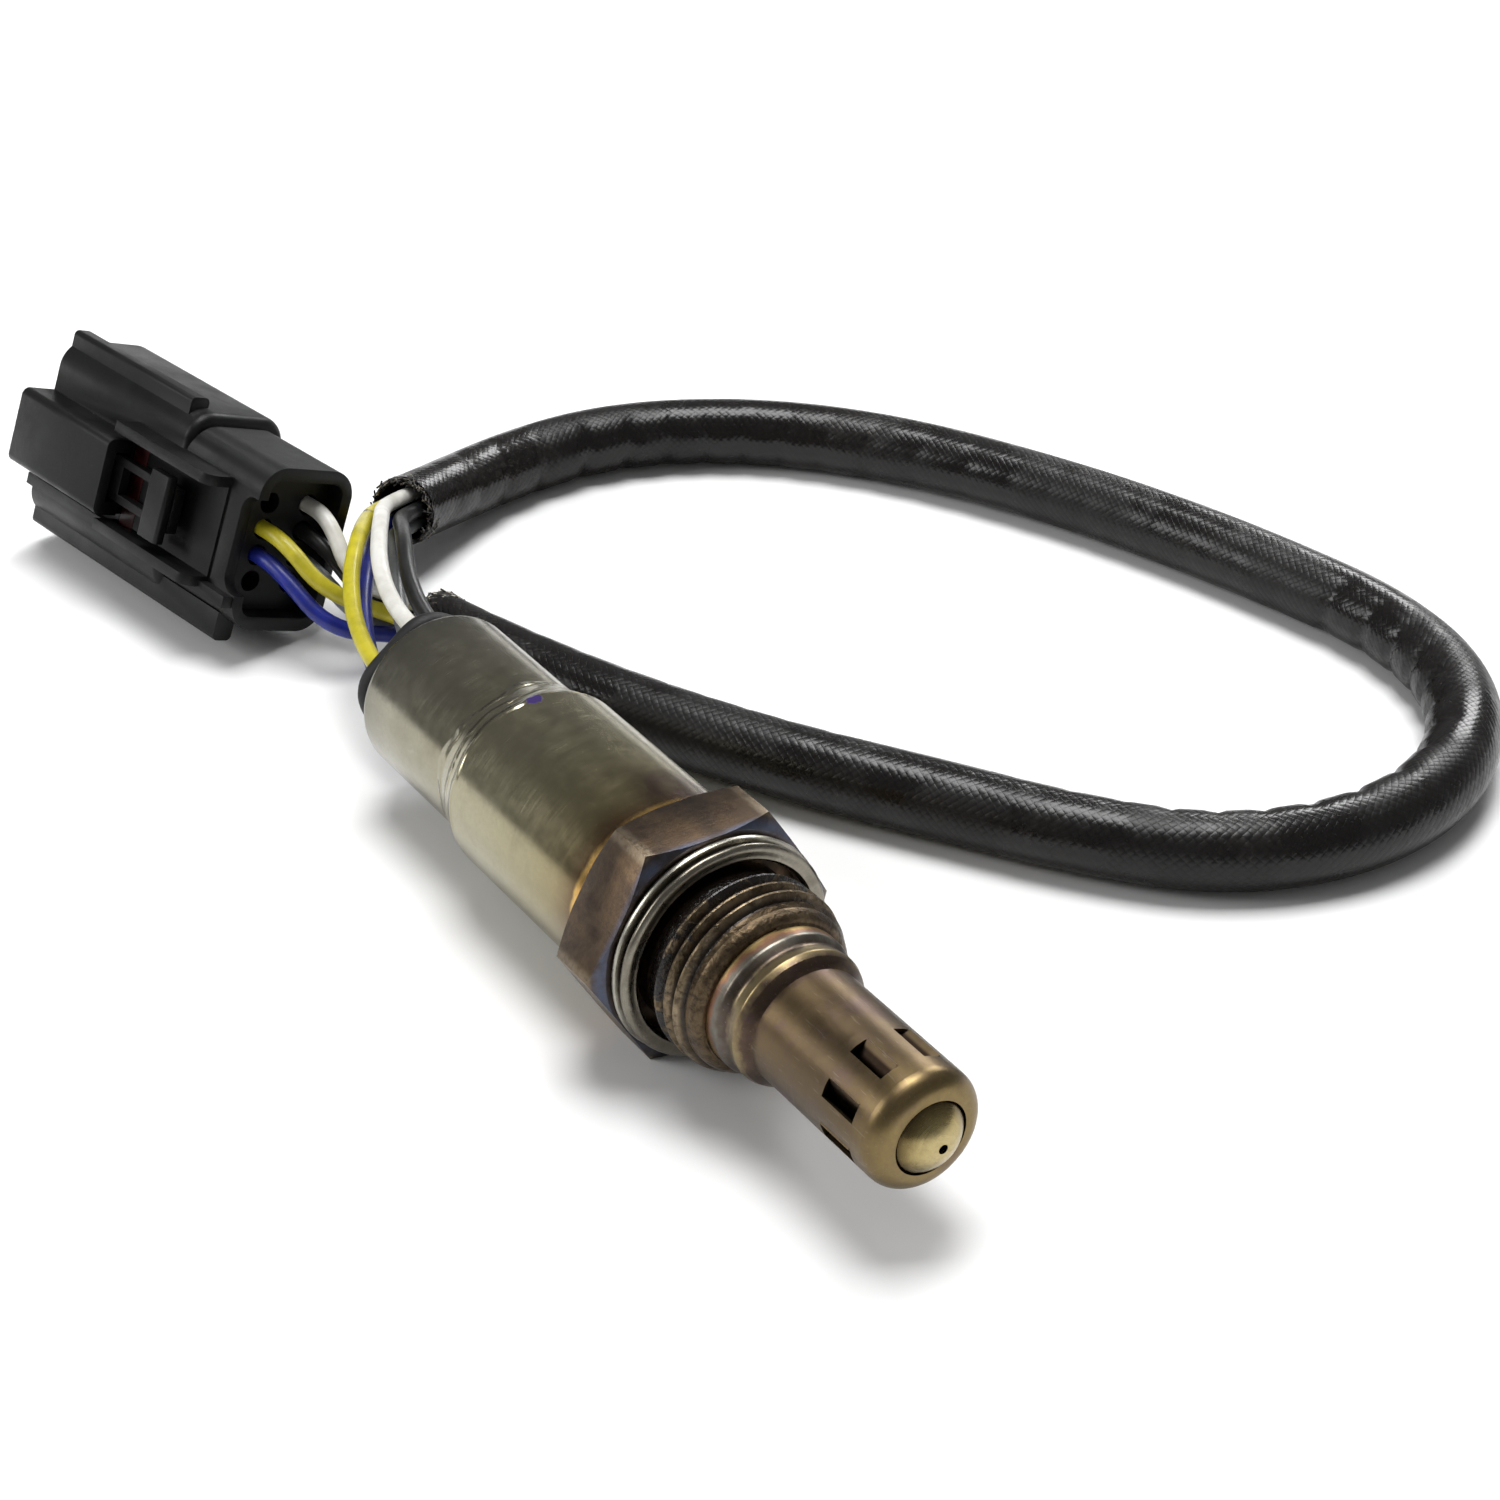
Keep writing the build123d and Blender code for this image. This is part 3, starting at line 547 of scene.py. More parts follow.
@dataclass(frozen=True)
class TintedSteel:
    """Turned or drawn steel whose oxide colours change along the sensor's axis."""

    name: str
    bands: tuple[tuple[float, str], ...]
    wander: float
    blotch: str
    blotch_share: float
    rough: tuple[float, float]
    blotch_scale: float = 0.35
    turning: float = 0.006
    spots: tuple[tuple[Point, float, float, str, float], ...] = ()
    paint: Optional[tuple[Point, float, str]] = None
    # radius, front end and colour of painted shade inside the piece
    inside: Optional[tuple[float, float, str]] = None
    creases: tuple[tuple[float, float], ...] = ()
    crease_depth: float = 0.16
    scratch_share: float = 0.05

    def oxide(self, g: Graph) -> Signal:
        """Oxide colours in bands that wander along the axis, with blotches over them.

        Args:
            g: the material's graph.

        Returns:
            The colour.
        """
        start, end = self.bands[0][0], self.bands[-1][0]
        drift = (g.noise(0.16, 4.0, 0.6) - 0.5) * (2 * self.wander)
        drift += (g.noise(0.7, 4.0, 0.6) - 0.5) * (1.6 * self.wander)
        along = g.math("DIVIDE", g.x + drift - start, end - start, clamp=True)
        colour = g.ramp(along, [((x - start) / (end - start), code) for x, code in self.bands])
        cloud = g.noise(self.blotch_scale, 6.0, 0.62, 0.4)
        colour = g.mix(g.between(cloud, 0.5, 0.72, 0.0, self.blotch_share), colour, self.blotch)
        return g.mix(g.between(g.noise(2.4, 5.0, 0.7), 0.35, 0.75, 0.0, 0.22), colour, self.blotch)

    def marked(self, g: Graph, colour: Signal, worn: Signal) -> Signal:
        """Heat spots, fine scratches and painted shade on the inner side over the oxide colours.

        Args:
            g: the material's graph.
            colour: the oxide colour.
            worn: the wear that frays the spots' edges.

        Returns:
            The colour.
        """
        for spot, reach, edge, code, share in self.spots:
            ragged = g.near(spot, reach, edge) * g.between(worn, 0.3, 0.62, 0.25, 1.0)
            colour = g.mix(ragged * share, colour, code)
        scratch = g.between(g.noise(1.0, 2.0, 0.4, space=g.stretched(0.5, 5.0, 5.0)), 0.66, 0.72)
        colour = g.mix(scratch * self.scratch_share, colour, "f0ead8")
        # painted shade: within the given radius and behind the given front end the colour is darkened
        if self.inside is not None:
            depth, front, code = self.inside
            painted_inner_shade = (g.between(g.radius(), depth - 0.25, depth, 1.0, 0.0)
                      * g.between(g.x, front - 0.3, front, 1.0, 0.0))
            colour = g.mix(painted_inner_shade, colour, code)
        return colour

    def dab(self, g: Graph, spot: Point, reach: float) -> Signal:
        """Where a dab of paint lies, with a ragged edge.

        Args:
            g: the material's graph.
            spot: the dab's middle.
            reach: its radius.

        Returns:
            1 on the paint, 0 off it.
        """
        ragged = (g.noise(1.5, 4.0, 0.6) - 0.5) * 1.3
        return g.between(g.near(spot, reach - 0.5, 1.0) + ragged, 0.42, 0.58)

    def relief(self, g: Graph, lines: Signal, worn: Signal) -> Signal:
        """Tool lines, wear and the shallow creases round the piece.

        Args:
            g: the material's graph.
            lines: the tool lines.
            worn: the wear.

        Returns:
            The normal.
        """
        normal = g.bump(lines, self.turning)
        normal = g.bump(worn, self.turning * 3, normal)
        for place, width in self.creases:
            wobble = (g.noise(0.22, 2.0, 0.4) - 0.5) * 2.4
            away = g.math("ABSOLUTE", g.x + wobble - place)
            depth = (g.between(away, 0.0, width, 1.0, 0.0)
                     * g.between(g.noise(0.3, 2.0, 0.4), 0.4, 0.6, 0.3, 1.0))
            normal = g.bump(depth, self.crease_depth, normal)
        return normal

    def material(self) -> bpy.types.Material:
        """Build the material.

        Returns:
            The finished material.
        """
        g = Graph(self.name)
        lines = g.noise(1.0, 4.0, 0.6, space=g.stretched(9.0, 0.22, 0.22))
        worn = g.noise(0.6, 5.0, 0.65)
        colour = self.marked(g, self.oxide(g), worn)
        roughness = g.between(lines * 0.5 + worn * 0.5, 0.3, 0.7, *self.rough)
        metal: Feed = 1.0
        if self.paint is not None:
            spot, reach, code = self.paint
            dab = self.dab(g, spot, reach)
            colour = g.mix(dab, colour, code)
            metal = 1.0 - dab
        return g.finish(colour, roughness, self.relief(g, lines, worn), metal)


@dataclass(frozen=True)
class ShellSteel:
    """Heat-browned hex and thread with worn corners, a blued chamfer, anti-seize in the thread and painted
    shade in its roots.
    """

    name: str = "shell_browned_steel"
    corner_r: float = 12.15
    thread_root_r: float = 8.2
    grease_tint: str = "17120f"

    def hex_colour(self, g: Graph, cloud: Signal, fine: Signal) -> Signal:
        """Browned hex, blued on its front chamfer and rubbed bright at its corners.

        Args:
            g: the material's graph.
            cloud: broad patches.
            fine: fine wear.

        Returns:
            The colour.
        """
        r = g.radius()
        brown = g.ramp(cloud, [(0.28, "382f29"), (0.45, "4d4136"), (0.6, "5c4c3c"), (0.78, "6c5b45")])
        brown = g.mix(g.between(fine, 0.4, 0.75, 0.0, 0.35), brown, "3c322d")
        blue = g.between(g.x, -3.1, -2.3) * g.between(r, 10.4, 11.6)
        brown = g.mix(blue * g.between(cloud, 0.35, 0.6, 0.25, 0.85), brown, "4e5a70")
        worn = g.between(r, self.corner_r, 12.5) * g.between(fine, 0.3, 0.6, 0.35, 1.0)
        return g.mix(worn * 0.4, brown, "9a8d78")

    def thread_colour(self, g: Graph, cloud: Signal, root: Signal, nose: Signal) -> Signal:
        """Crests paler than the roots, which carry painted shade, and the browner nose in front of them.

        Args:
            g: the material's graph.
            cloud: broad patches.
            root: 1 at the bottom of the thread.
            nose: 1 in front of the thread.

        Returns:
            The colour.
        """
        crest = g.ramp(cloud, [(0.3, "564b3c"), (0.5, "6e604c"), (0.7, "8d7e68")])
        crest = g.mix(nose, crest, g.ramp(cloud, [(0.35, "493d2f"), (0.55, "655540"), (0.7, "7a6a50")]))
        crest = g.mix(g.between(g.noise(1.1, 5.0, 0.65, 0.5), 0.46, 0.66, 0.0, 0.7), crest, "2b241d")
        # painted shade: the thread's roots are darkened, except on the nose in front of the thread
        return g.mix(root * (1.0 - nose), crest, "352c23")

    def material(self) -> bpy.types.Material:
        """Build the material.

        Returns:
            The finished material.
        """
        g = Graph(self.name)
        cloud = g.noise(0.28, 6.0, 0.62, 0.5)
        fine = g.noise(2.2, 5.0, 0.65)
        lines = g.noise(1.0, 4.0, 0.6, space=g.stretched(9.0, 0.25, 0.25))
        root = g.between(g.radius(), self.thread_root_r, 8.75, 1.0, 0.0)
        ahead = g.between(g.x, -0.3, 0.4)
        nose = g.between(g.x, 5.6, 6.3)
        colour = g.mix(ahead, self.hex_colour(g, cloud, fine), self.thread_colour(g, cloud, root, nose))
        greased = g.noise(0.42, 5.0, 0.6, 0.8) + g.between(g.x, 1.5, 5.0, 0.09, -0.13)
        thick = g.math("MAXIMUM", g.between(greased, 0.45, 0.58),
                       root * g.between(cloud, 0.35, 0.6, 0.15, 0.7))
        smear = ahead * (1.0 - nose * 0.75) * thick
        colour = g.mix(smear, colour, self.grease_tint)
        roughness = g.between(lines * 0.4 + fine * 0.6, 0.3, 0.7, 0.3, 0.46) - smear * 0.12
        relief = g.bump(lines, 0.008)
        relief = g.bump(fine, 0.02, relief)
        relief = g.bump(ahead * g.noise(1.3, 4.0, 0.6, 0.4), 0.14, relief)
        relief = g.bump(smear * g.noise(0.9, 4.0, 0.6), 0.09, relief)
        return g.finish(colour, roughness, relief, 1.0 - smear * 0.85)


@dataclass(frozen=True)
class Plating:
    """Bright or dull plated metal with handling marks."""

    name: str
    light: str
    dark: str
    rough: tuple[float, float] = (0.22, 0.4)
    grain: float = 1.2
    depth: float = 0.01

    def material(self) -> bpy.types.Material:
        """Build the material.

        Returns:
            The finished material.
        """
        g = Graph(self.name)
        cloud = g.noise(self.grain * 0.4, 5.0, 0.6, 0.3)
        fine = g.noise(self.grain * 3.0, 4.0, 0.6)
        colour = g.ramp(cloud, [(0.32, self.dark), (0.62, self.light)])
        colour = g.mix(g.between(fine, 0.55, 0.8, 0.0, 0.3), colour, self.dark)
        roughness = g.between((cloud + fine) * 0.5, 0.35, 0.65, *self.rough)
        return g.finish(colour, roughness, g.bump(fine, self.depth), 1.0)


@dataclass(frozen=True)
class MouldedPlastic:
    """Moulded plastic or rubber with a fine eroded grain, flow marks and a little dust."""

    name: str
    body: str
    shade: str
    dust: str = "6f6f6c"
    dust_share: float = 0.10
    rough: tuple[float, float] = (0.34, 0.5)
    grain: float = 7.0
    depth: float = 0.012
    flow_depth: float = 0.05
    specular: float = 0.42

    def material(self) -> bpy.types.Material:
        """Build the material.

        Returns:
            The finished material.
        """
        g = Graph(self.name)
        flow = g.noise(0.18, 4.0, 0.55, 0.6)
        fine = g.noise(self.grain, 3.0, 0.6)
        colour = g.ramp(flow, [(0.3, self.shade), (0.7, self.body)])
        speck = g.between(g.noise(3.2, 6.0, 0.75), 0.56, 0.74)
        settled = speck * g.between(g.noise(0.12, 3.0, 0.5), 0.38, 0.66)
        colour = g.mix(settled * self.dust_share, colour, self.dust)
        roughness = g.between(flow * 0.6 + fine * 0.4, 0.32, 0.68, *self.rough)
        relief = g.bump(flow, self.flow_depth, g.bump(fine, self.depth))
        return g.finish(colour, roughness, relief, specular=self.specular)


@dataclass(frozen=True)
class Mineral:
    """Fired ceramic or pressed powder."""

    name: str
    light: str
    dark: str
    rough: tuple[float, float]
    grain: float = 2.5
    depth: float = 0.02

    def material(self) -> bpy.types.Material:
        """Build the material.

        Returns:
            The finished material.
        """
        g = Graph(self.name)
        fine = g.noise(self.grain, 6.0, 0.7)
        colour = g.ramp(fine, [(0.3, self.dark), (0.6, self.light)])
        colour = g.mix(g.between(g.noise(0.3, 4.0, 0.6), 0.5, 0.75, 0.0, 0.3), colour, self.dark)
        return g.finish(colour, g.between(fine, 0.3, 0.7, *self.rough), g.bump(fine, self.depth))


@dataclass(frozen=True)
class LeadJacket:
    """Smooth cable insulation, slightly scuffed, with a faint orange-peel surface."""

    name: str
    body: str
    shade: str
    mark: Optional[Point] = None
    mark_tint: str = "1c1a10"
    rough: tuple[float, float] = (0.3, 0.44)
    depth: float = 0.007
    specular: float = 0.45

    def material(self) -> bpy.types.Material:
        """Build the material.

        Returns:
            The finished material.
        """
        g = Graph(self.name)
        cloud = g.noise(0.35, 4.0, 0.6)
        scuff = g.noise(3.0, 5.0, 0.7)
        colour = g.ramp(cloud, [(0.3, self.shade), (0.6, self.body)])
        colour = g.mix(g.between(scuff, 0.6, 0.8, 0.0, 0.3), colour, self.shade)
        if self.mark is not None:
            # a darker patch round the mark, its edge broken by noise
            dark_patch = g.near(self.mark, 0.5, 0.7) * g.between(g.noise(1.1, 3.0, 0.6), 0.35, 0.5)
            colour = g.mix(dark_patch, colour, self.mark_tint)
        relief = g.bump(g.noise(1.6, 2.0, 0.5), self.depth)
        return g.finish(colour, g.between(scuff, 0.3, 0.7, *self.rough), relief, specular=self.specular)


@dataclass(frozen=True)
class VarnishedBraid:
    """Black glass-fibre braid, its yarns crossing at a slant, sealed with a patchy varnish."""

    girth: float
    name: str = "varnished_braid"
    yarns: int = 26
    pitch: float = 0.95
    yarn_depth: float = 0.036
    dent_depth: float = 0.2
    specular: float = 0.34

    def weave(self, g: Graph) -> Signal:
        """Height of two sets of slanting yarns that pass over each other by turns.

        Args:
            g: the material's graph.

        Returns:
            The height, from 0 to 1.
        """
        across = g.x * (self.yarns / self.girth)
        along = g.y * (1.0 / self.pitch)
        a, b = across + along, across - along
        hump_a = g.math("SINE", g.math("FRACT", a) * pi)
        hump_b = g.math("SINE", g.math("FRACT", b) * pi)
        odd = g.math("FLOORED_MODULO", g.math("FLOOR", a) + g.math("FLOOR", b), 2.0)
        over_a = g.math("POWER", hump_a, 0.5) * g.math("MULTIPLY_ADD", hump_b, 0.45, 0.55)
        over_b = g.math("POWER", hump_b, 0.5) * g.math("MULTIPLY_ADD", hump_a, 0.45, 0.55)
        return odd * over_a + (1.0 - odd) * over_b

    def material(self) -> bpy.types.Material:
        """Build the material.

        Returns:
            The finished material.
        """
        g = Graph(self.name, from_uv=True)
        weave = self.weave(g)
        body = g.solid()
        varnish = g.between(g.noise(0.09, 4.0, 0.6, 0.3, body), 0.36, 0.62)
        slub = g.noise(1.4, 5.0, 0.7, 0.0, body)
        # painted shade between the yarns: the colour is darker where the weave is low
        colour = g.mix(g.between(weave, 0.25, 0.95), "070605", "120f0e")
        colour = g.mix(g.between(slub, 0.5, 0.8, 0.0, 0.4), colour, "1a1614")
        grey = g.between(g.noise(0.05, 3.0, 0.5, 0.0, body), 0.45, 0.7) * g.between(slub, 0.42, 0.62)
        colour = g.mix(grey * 0.16, colour, "4a4540")
        roughness = g.between(varnish, 0.0, 1.0, 0.38, 0.19) + slub * 0.08
        relief = g.bump(weave * g.between(varnish, 0.0, 1.0, 1.0, 0.55), self.yarn_depth)
        relief = g.bump(g.noise(0.22, 3.0, 0.5, 0.0, body), self.dent_depth, relief)
        return g.finish(colour, roughness, relief, specular=self.specular)


@dataclass(frozen=True)
class FibreEnds:
    """Cut braid yarns and drops of pale varnish at the braid's mouths."""

    name: str
    pale: str
    dark: str = "141210"
    share: tuple[float, float] = (0.5, 0.6)
    rough: tuple[float, float] = (0.35, 0.6)
    depth: float = 0.03

    def material(self) -> bpy.types.Material:
        """Build the material.

        Returns:
            The finished material.
        """
        g = Graph(self.name)
        colour = g.mix(g.between(g.noise(1.9, 3.0, 0.6), *self.share), self.dark, self.pale)
        roughness = g.between(g.noise(3.0), 0.3, 0.7, *self.rough)
        return g.finish(colour, roughness, g.bump(g.noise(4.0), self.depth))


@dataclass(frozen=True)
class PaleFloor:
    """Matt studio paper that keeps its shadows near the part and turns plain white further off."""

    name: str = "studio_floor"
    light: str = "fbfbfb"
    dark: str = "f8f8f8"
    middle: Point = (-40.0, 40.0, 0.0)
    shadow_reach: float = 170.0
    fade: float = 260.0
    rough: float = 0.9

    def material(self) -> bpy.types.Material:
        """Build the material.

        Returns:
            The finished material.
        """
        g = Graph(self.name)
        colour = g.mix(g.between(g.noise(0.02, 3.0, 0.5), 0.3, 0.7), self.light, self.dark)
        seen = Signal(g, g.put("ShaderNodeLightPath").outputs["Is Camera Ray"])
        far_off = 1.0 - g.near(self.middle, self.shadow_reach, self.fade)
        g.give(g.shader.inputs["Emission Color"], "ffffff")
        g.give(g.shader.inputs["Emission Strength"], far_off * seen)
        return g.finish(colour, self.rough, specular=0.0)


# ---------------------------------------------------------------- studio

@dataclass(frozen=True)
class Softbox:
    """One square lamp: where it hangs and its side in metres, and its power in watts."""

    name: str
    place: Point
    size: float
    power: float

    def hang(self, aim: Point) -> None:
        """Hang the lamp so that it faces a point.

        Args:
            aim: the point.
        """
        deselect()
        facing = (Vector(aim) - Vector(self.place)).to_track_quat("-Z", "Y").to_euler()
        bpy.ops.object.light_add(type="AREA", location=self.place, rotation=facing)
        light = bpy.context.active_object
        light.name = self.name
        light.data.shape = "SQUARE"
        light.data.size = self.size
        light.data.energy = self.power


@dataclass
class Studio:
    """Pale floor, soft lamps, dim world and the camera, in metres."""

    floor_z: float = -0.011
    floor_size: float = 6.0
    world_level: float = 0.2
    camera_place: Point = (0.1785, -0.1156, 0.1564)
    camera_turn: Point = (57.55, 0.0, 56.54)
    lens: float = 72.0
    sensor_width: float = 36.0
    near_clip: float = 0.01
    aim: Point = (-0.03, 0.03, 0.0)
    lamps: tuple[Softbox, ...] = (
        Softbox("overhead_box", (-0.2, 0.12, 0.95), 0.5, 9.2),
        Softbox("left_box", (-0.45, -0.85, 0.5), 0.45, 4.0),
        Softbox("rear_strip", (-0.55, 0.85, 0.55), 0.35, 4.4),
    )

    def build(self) -> None:
        """Make the floor, the world, the lamps and the camera."""
        self.floor()
        self.world()
        for lamp in self.lamps:
            lamp.hang(self.aim)
        self.camera()
        bpy.context.scene.view_settings.view_transform = "Standard"
        log.info("studio ready")

    def floor(self) -> None:
        """Lay the floor that the part rests on."""
        deselect()
        bpy.ops.mesh.primitive_grid_add(x_subdivisions=8, y_subdivisions=8, size=self.floor_size,
                                        location=(0, 0, self.floor_z))
        floor = settle(named("studio_floor"))
        floor.data.materials.append(PaleFloor().material())

    def world(self) -> None:
        """Light the room dimly, and show it plain white to the camera."""
        world = bpy.data.worlds.new("soft_room")
        world.use_nodes = True
        tree = world.node_tree
        ground = tree.nodes["Background"]
        ground.inputs["Color"].default_value = (1, 1, 1, 1)
        rays = tree.nodes.new("ShaderNodeLightPath")
        level = tree.nodes.new("ShaderNodeMapRange")
        level.inputs["To Min"].default_value = self.world_level
        level.inputs["To Max"].default_value = 1.0
        tree.links.new(rays.outputs["Is Camera Ray"], level.inputs["Value"])
        tree.links.new(level.outputs["Result"], ground.inputs["Strength"])
        bpy.context.scene.world = world

    def camera(self) -> None:
        """Set up the camera."""
        deselect()
        bpy.ops.object.camera_add(location=self.camera_place,
                                  rotation=tuple(radians(a) for a in self.camera_turn))
        camera = named("studio_camera")
        camera.data.lens = self.lens
        camera.data.sensor_width = self.sensor_width
        camera.data.clip_start = self.near_clip
        bpy.context.scene.camera = camera


# ---------------------------------------------------------------- carried-over nodes

def dress(node: str, material: bpy.types.Material) -> None:
    """Give a CAD node one material in all its slots.

    Args:
        node: the node's name.
        material: its finish.
    """
    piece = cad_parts[node]
    if not piece.material_slots:
        piece.data.materials.append(material)
    for held in piece.material_slots:
        held.material = material
    log.info("dressed %s with %s", node, material.name)


# ---------------------------------------------------------------- sensor body

@dataclass
class ThreadedShell:
    """Steel body: hex, thread with its relief and run-out, and the nose round the tube's root."""

    hex_corner_r: float = 22.0 / 3 ** 0.5
    hex_rear_x: float = -8.8
    hex_front_x: float = -2.2
    chamfer_r: float = 11.15
    chamfer_slope: float = 0.5317
    crown_spare: float = 0.6
    crown_bore_r: float = 0.4
    hex_edge: float = 0.14
    root_r: float = 8.05
    pitch: float = 1.5
    thread_turns: int = 5
    thread_shift: float = 0.4
    turn_steps: int = 120
    sides: int = 128
    run_out: Profile = ((0.2, 7.4), (1.1, 8.15), (1.8, 9.0), (4.9, 9.0), (5.8, 8.6), (6.6, 8.1),
                        (8.5, 6.4))

    def hexagon(self) -> bpy.types.Object:
        """The hex: a six-sided bar cut by its turned corner chamfers, at 28 degrees to its faces.

        Returns:
            The hex.
        """
        deselect()
        rear, front = self.hex_rear_x, self.hex_front_x
        bpy.ops.mesh.primitive_cylinder_add(
            vertices=6, radius=self.hex_corner_r * MM, depth=(front - rear) * MM,
            location=((front + rear) / 2 * MM, 0, 0), rotation=(0, pi / 2, 0))
        nut = settle(named("hex"))
        outside = self.hex_corner_r + self.crown_spare
        slope = (outside - self.chamfer_r) * self.chamfer_slope
        crown = turn_up("crown", [
            (rear, self.crown_bore_r), (rear, self.chamfer_r), (rear + slope, outside),
            (front - slope, outside), (front, self.chamfer_r), (front, self.crown_bore_r)], self.sides)
        apply_modifier(nut, "BOOLEAN", operation="INTERSECT", object=crown, solver="EXACT")
        bpy.data.objects.remove(crown)
        soften(nut, self.hex_edge, 20.0)
        return nut

    def limit(self, x: float) -> float:
        """Largest radius the thread may have at a station, so that it runs out at both ends.

        Args:
            x: the station.

        Returns:
            The radius.
        """
        for (x0, r0), (x1, r1) in zip(self.run_out, self.run_out[1:]):
            if x <= x1:
                return r0 + (r1 - r0) * max(x - x0, 0.0) / (x1 - x0)
        return self.run_out[-1][1]

    def ridge(self) -> Profile:
        """Section of one turn of the thread: a rounded crest between two rounded roots.

        Returns:
            Its (x, r) stations.
        """
        root = self.root_r
        rise = [(0.0, root + 0.05), (0.14, root + 0.1), (0.28, root + 0.35), (0.46, 8.74), (0.6, 8.92)]
        fall = [(0.9, 8.92), (1.04, 8.74), (1.22, root + 0.35), (1.36, root + 0.1), (1.5, root + 0.05)]
        return [*rise, (0.75, 8.97), *fall]

    def strip(self) -> bpy.types.Object:
        """One point drawn out from station to station of the thread's section.

        Returns:
            The section as a chain of edges.
        """
        deselect()
        bpy.ops.mesh.primitive_plane_add(size=MM)
        strip = named("thread")
        bpy.ops.object.mode_set(mode="EDIT")
        bpy.ops.mesh.select_mode(type="VERT")
        bpy.ops.mesh.select_all(action="SELECT")
        bpy.ops.mesh.merge(type="CENTER")
        x0, r0 = 0.0, 0.0
        for place, (x, r) in enumerate(self.ridge()):
            if place > 0:
                bpy.ops.mesh.extrude_vertices_move()
            bpy.ops.transform.translate(value=((x - x0) * MM, 0, (r - r0) * MM))
            x0, r0 = x, r
        bpy.ops.object.mode_set(mode="OBJECT")
        return strip

    def thread(self) -> bpy.types.Object:
        """The thread: one turn's section swept by a screw, then trimmed at its run-outs.

        Returns:
            The thread.
        """
        strip = self.strip()
        apply_modifier(strip, "SCREW", axis="X", steps=self.turn_steps, render_steps=self.turn_steps,
                       iterations=self.thread_turns, screw_offset=self.pitch * MM, angle=2 * pi,
                       use_merge_vertices=False)
        weld(strip)
        low = min(v.co.x for v in strip.data.vertices)

        def trim(point: Vector) -> Vector:
            """Shift a point to the thread's start and hold it inside the run-out.

            Args:
                point: the point.

            Returns:
                Its new place.
            """
            x = point.x - low - self.thread_shift * MM
            r = hypot(point.y, point.z)
            share = min(r, self.limit(x / MM) * MM) / r
            return Vector((x, point.y * share, point.z * share))

        move_points(strip, trim)
        return strip

    def core(self) -> bpy.types.Object:
        """The turned body behind and under the hex and the thread, bored for the inner parts.

        Returns:
            The body.
        """
        neck = [(-18.2, 5.2), (-18.2, 8.55), (-17.4, 9.35), (-8.8, 9.35), (-8.8, 9.8), (-2.2, 9.8)]
        relief = [(-2.2, 8.15), (1.1, 8.15), (1.2, self.root_r), (5.7, self.root_r)]
        nose = [(6.0, 8.22), (6.5, 8.2), (6.9, 8.05), (7.2, 7.85), (7.4, 7.62), (7.5, 7.4)]
        bore = [(7.5, 7.13), (3.0, 7.13), (3.0, 5.3), (-1.0, 5.3), (-1.0, 6.8), (-17.4, 6.8), (-17.4, 5.2)]
        return turn_up("core", [*neck, *relief, *nose, *bore], self.sides)

    def build(self) -> None:
        """Model the whole shell and put it in place of its node."""
        shell = join("threaded_shell_dressed", [self.core(), self.hexagon(), self.thread()])
        smooth(shell, 32)
        shell.data.materials.clear()
        shell.data.materials.append(ShellSteel().material())
        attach(shell, "root")
        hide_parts("threaded_shell")
        log.info("built %s", shell.name)


@dataclass
class CrushGasket:
    """Folded steel ring: a rounded outer roll, an open groove and a second wave inside."""

    outer_r: float = 10.95
    inner_r: float = 9.15
    thick: float = 2.2
    sides: int = 144
    ripple: float = 0.0035
    lean: float = 0.05
    lean_front_x: float = -1.2
    finish: TintedSteel = TintedSteel(
        "gasket_rolled_steel", ((-2.2, "8d8a80"), (-1.5, "a6a398"), (-1.0, "6a655b"), (0.0, "8b867a")),
        wander=0.4, blotch="4a4238", blotch_share=0.4, rough=(0.22, 0.38))

    def outline(self) -> Profile:
        """Section of the folded ring, from its rear inner edge round to its bore.

        Returns:
            Its (x, r) stations.
        """
        o, i, rear = self.outer_r, self.inner_r, -self.thick
        roll = [(0.0, -0.75), (0.1, -0.42), (0.34, -0.1), (0.62, 0.0), (0.88, -0.12), (0.98, -0.5)]
        groove = [(0.98, -1.05), (1.2, -1.12), (1.3, -0.7)]
        wave = [(1.36, -0.42), (1.56, -0.22), (1.82, -0.2), (2.04, -0.34), (2.16, -0.62), (2.2, -0.9),
                (2.12, -1.15), (2.16, -1.36)]
        bore = [(-0.02, i + 0.3), (-0.25, i + 0.05), (-0.6, i), (rear + 0.3, i)]
        return [(rear, i + 0.25), *((rear + x, o + r) for x, r in (*roll, *groove, *wave)), *bore]

    def build(self) -> None:
        """Model the ring and put it in place of its node."""
        ring = turn_up("gasket_dressed", self.outline(), self.sides)

        def wave(point: Vector) -> Vector:
            """Rolled steel is never quite round: a shallow ripple round the ring.

            Args:
                point: a point of the ring.

            Returns:
                Its new place.
            """
            angle = atan2(point.z, point.y)
            swell = 1 - self.ripple * (1 + sin(3 * angle + 0.6) * cos(5 * angle))
            lean = self.lean * MM * sin(2 * angle + 1.0) * cos(7 * angle)
            if point.x <= self.lean_front_x * MM:
                lean = 0.0
            return Vector((min(point.x - abs(lean), 0.0), point.y * swell, point.z * swell))

        move_points(ring, wave)
        smooth(ring, 50)
        ring.data.materials.append(self.finish.material())
        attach(ring, "root")
        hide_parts("gasket")
        log.info("built %s", ring.name)


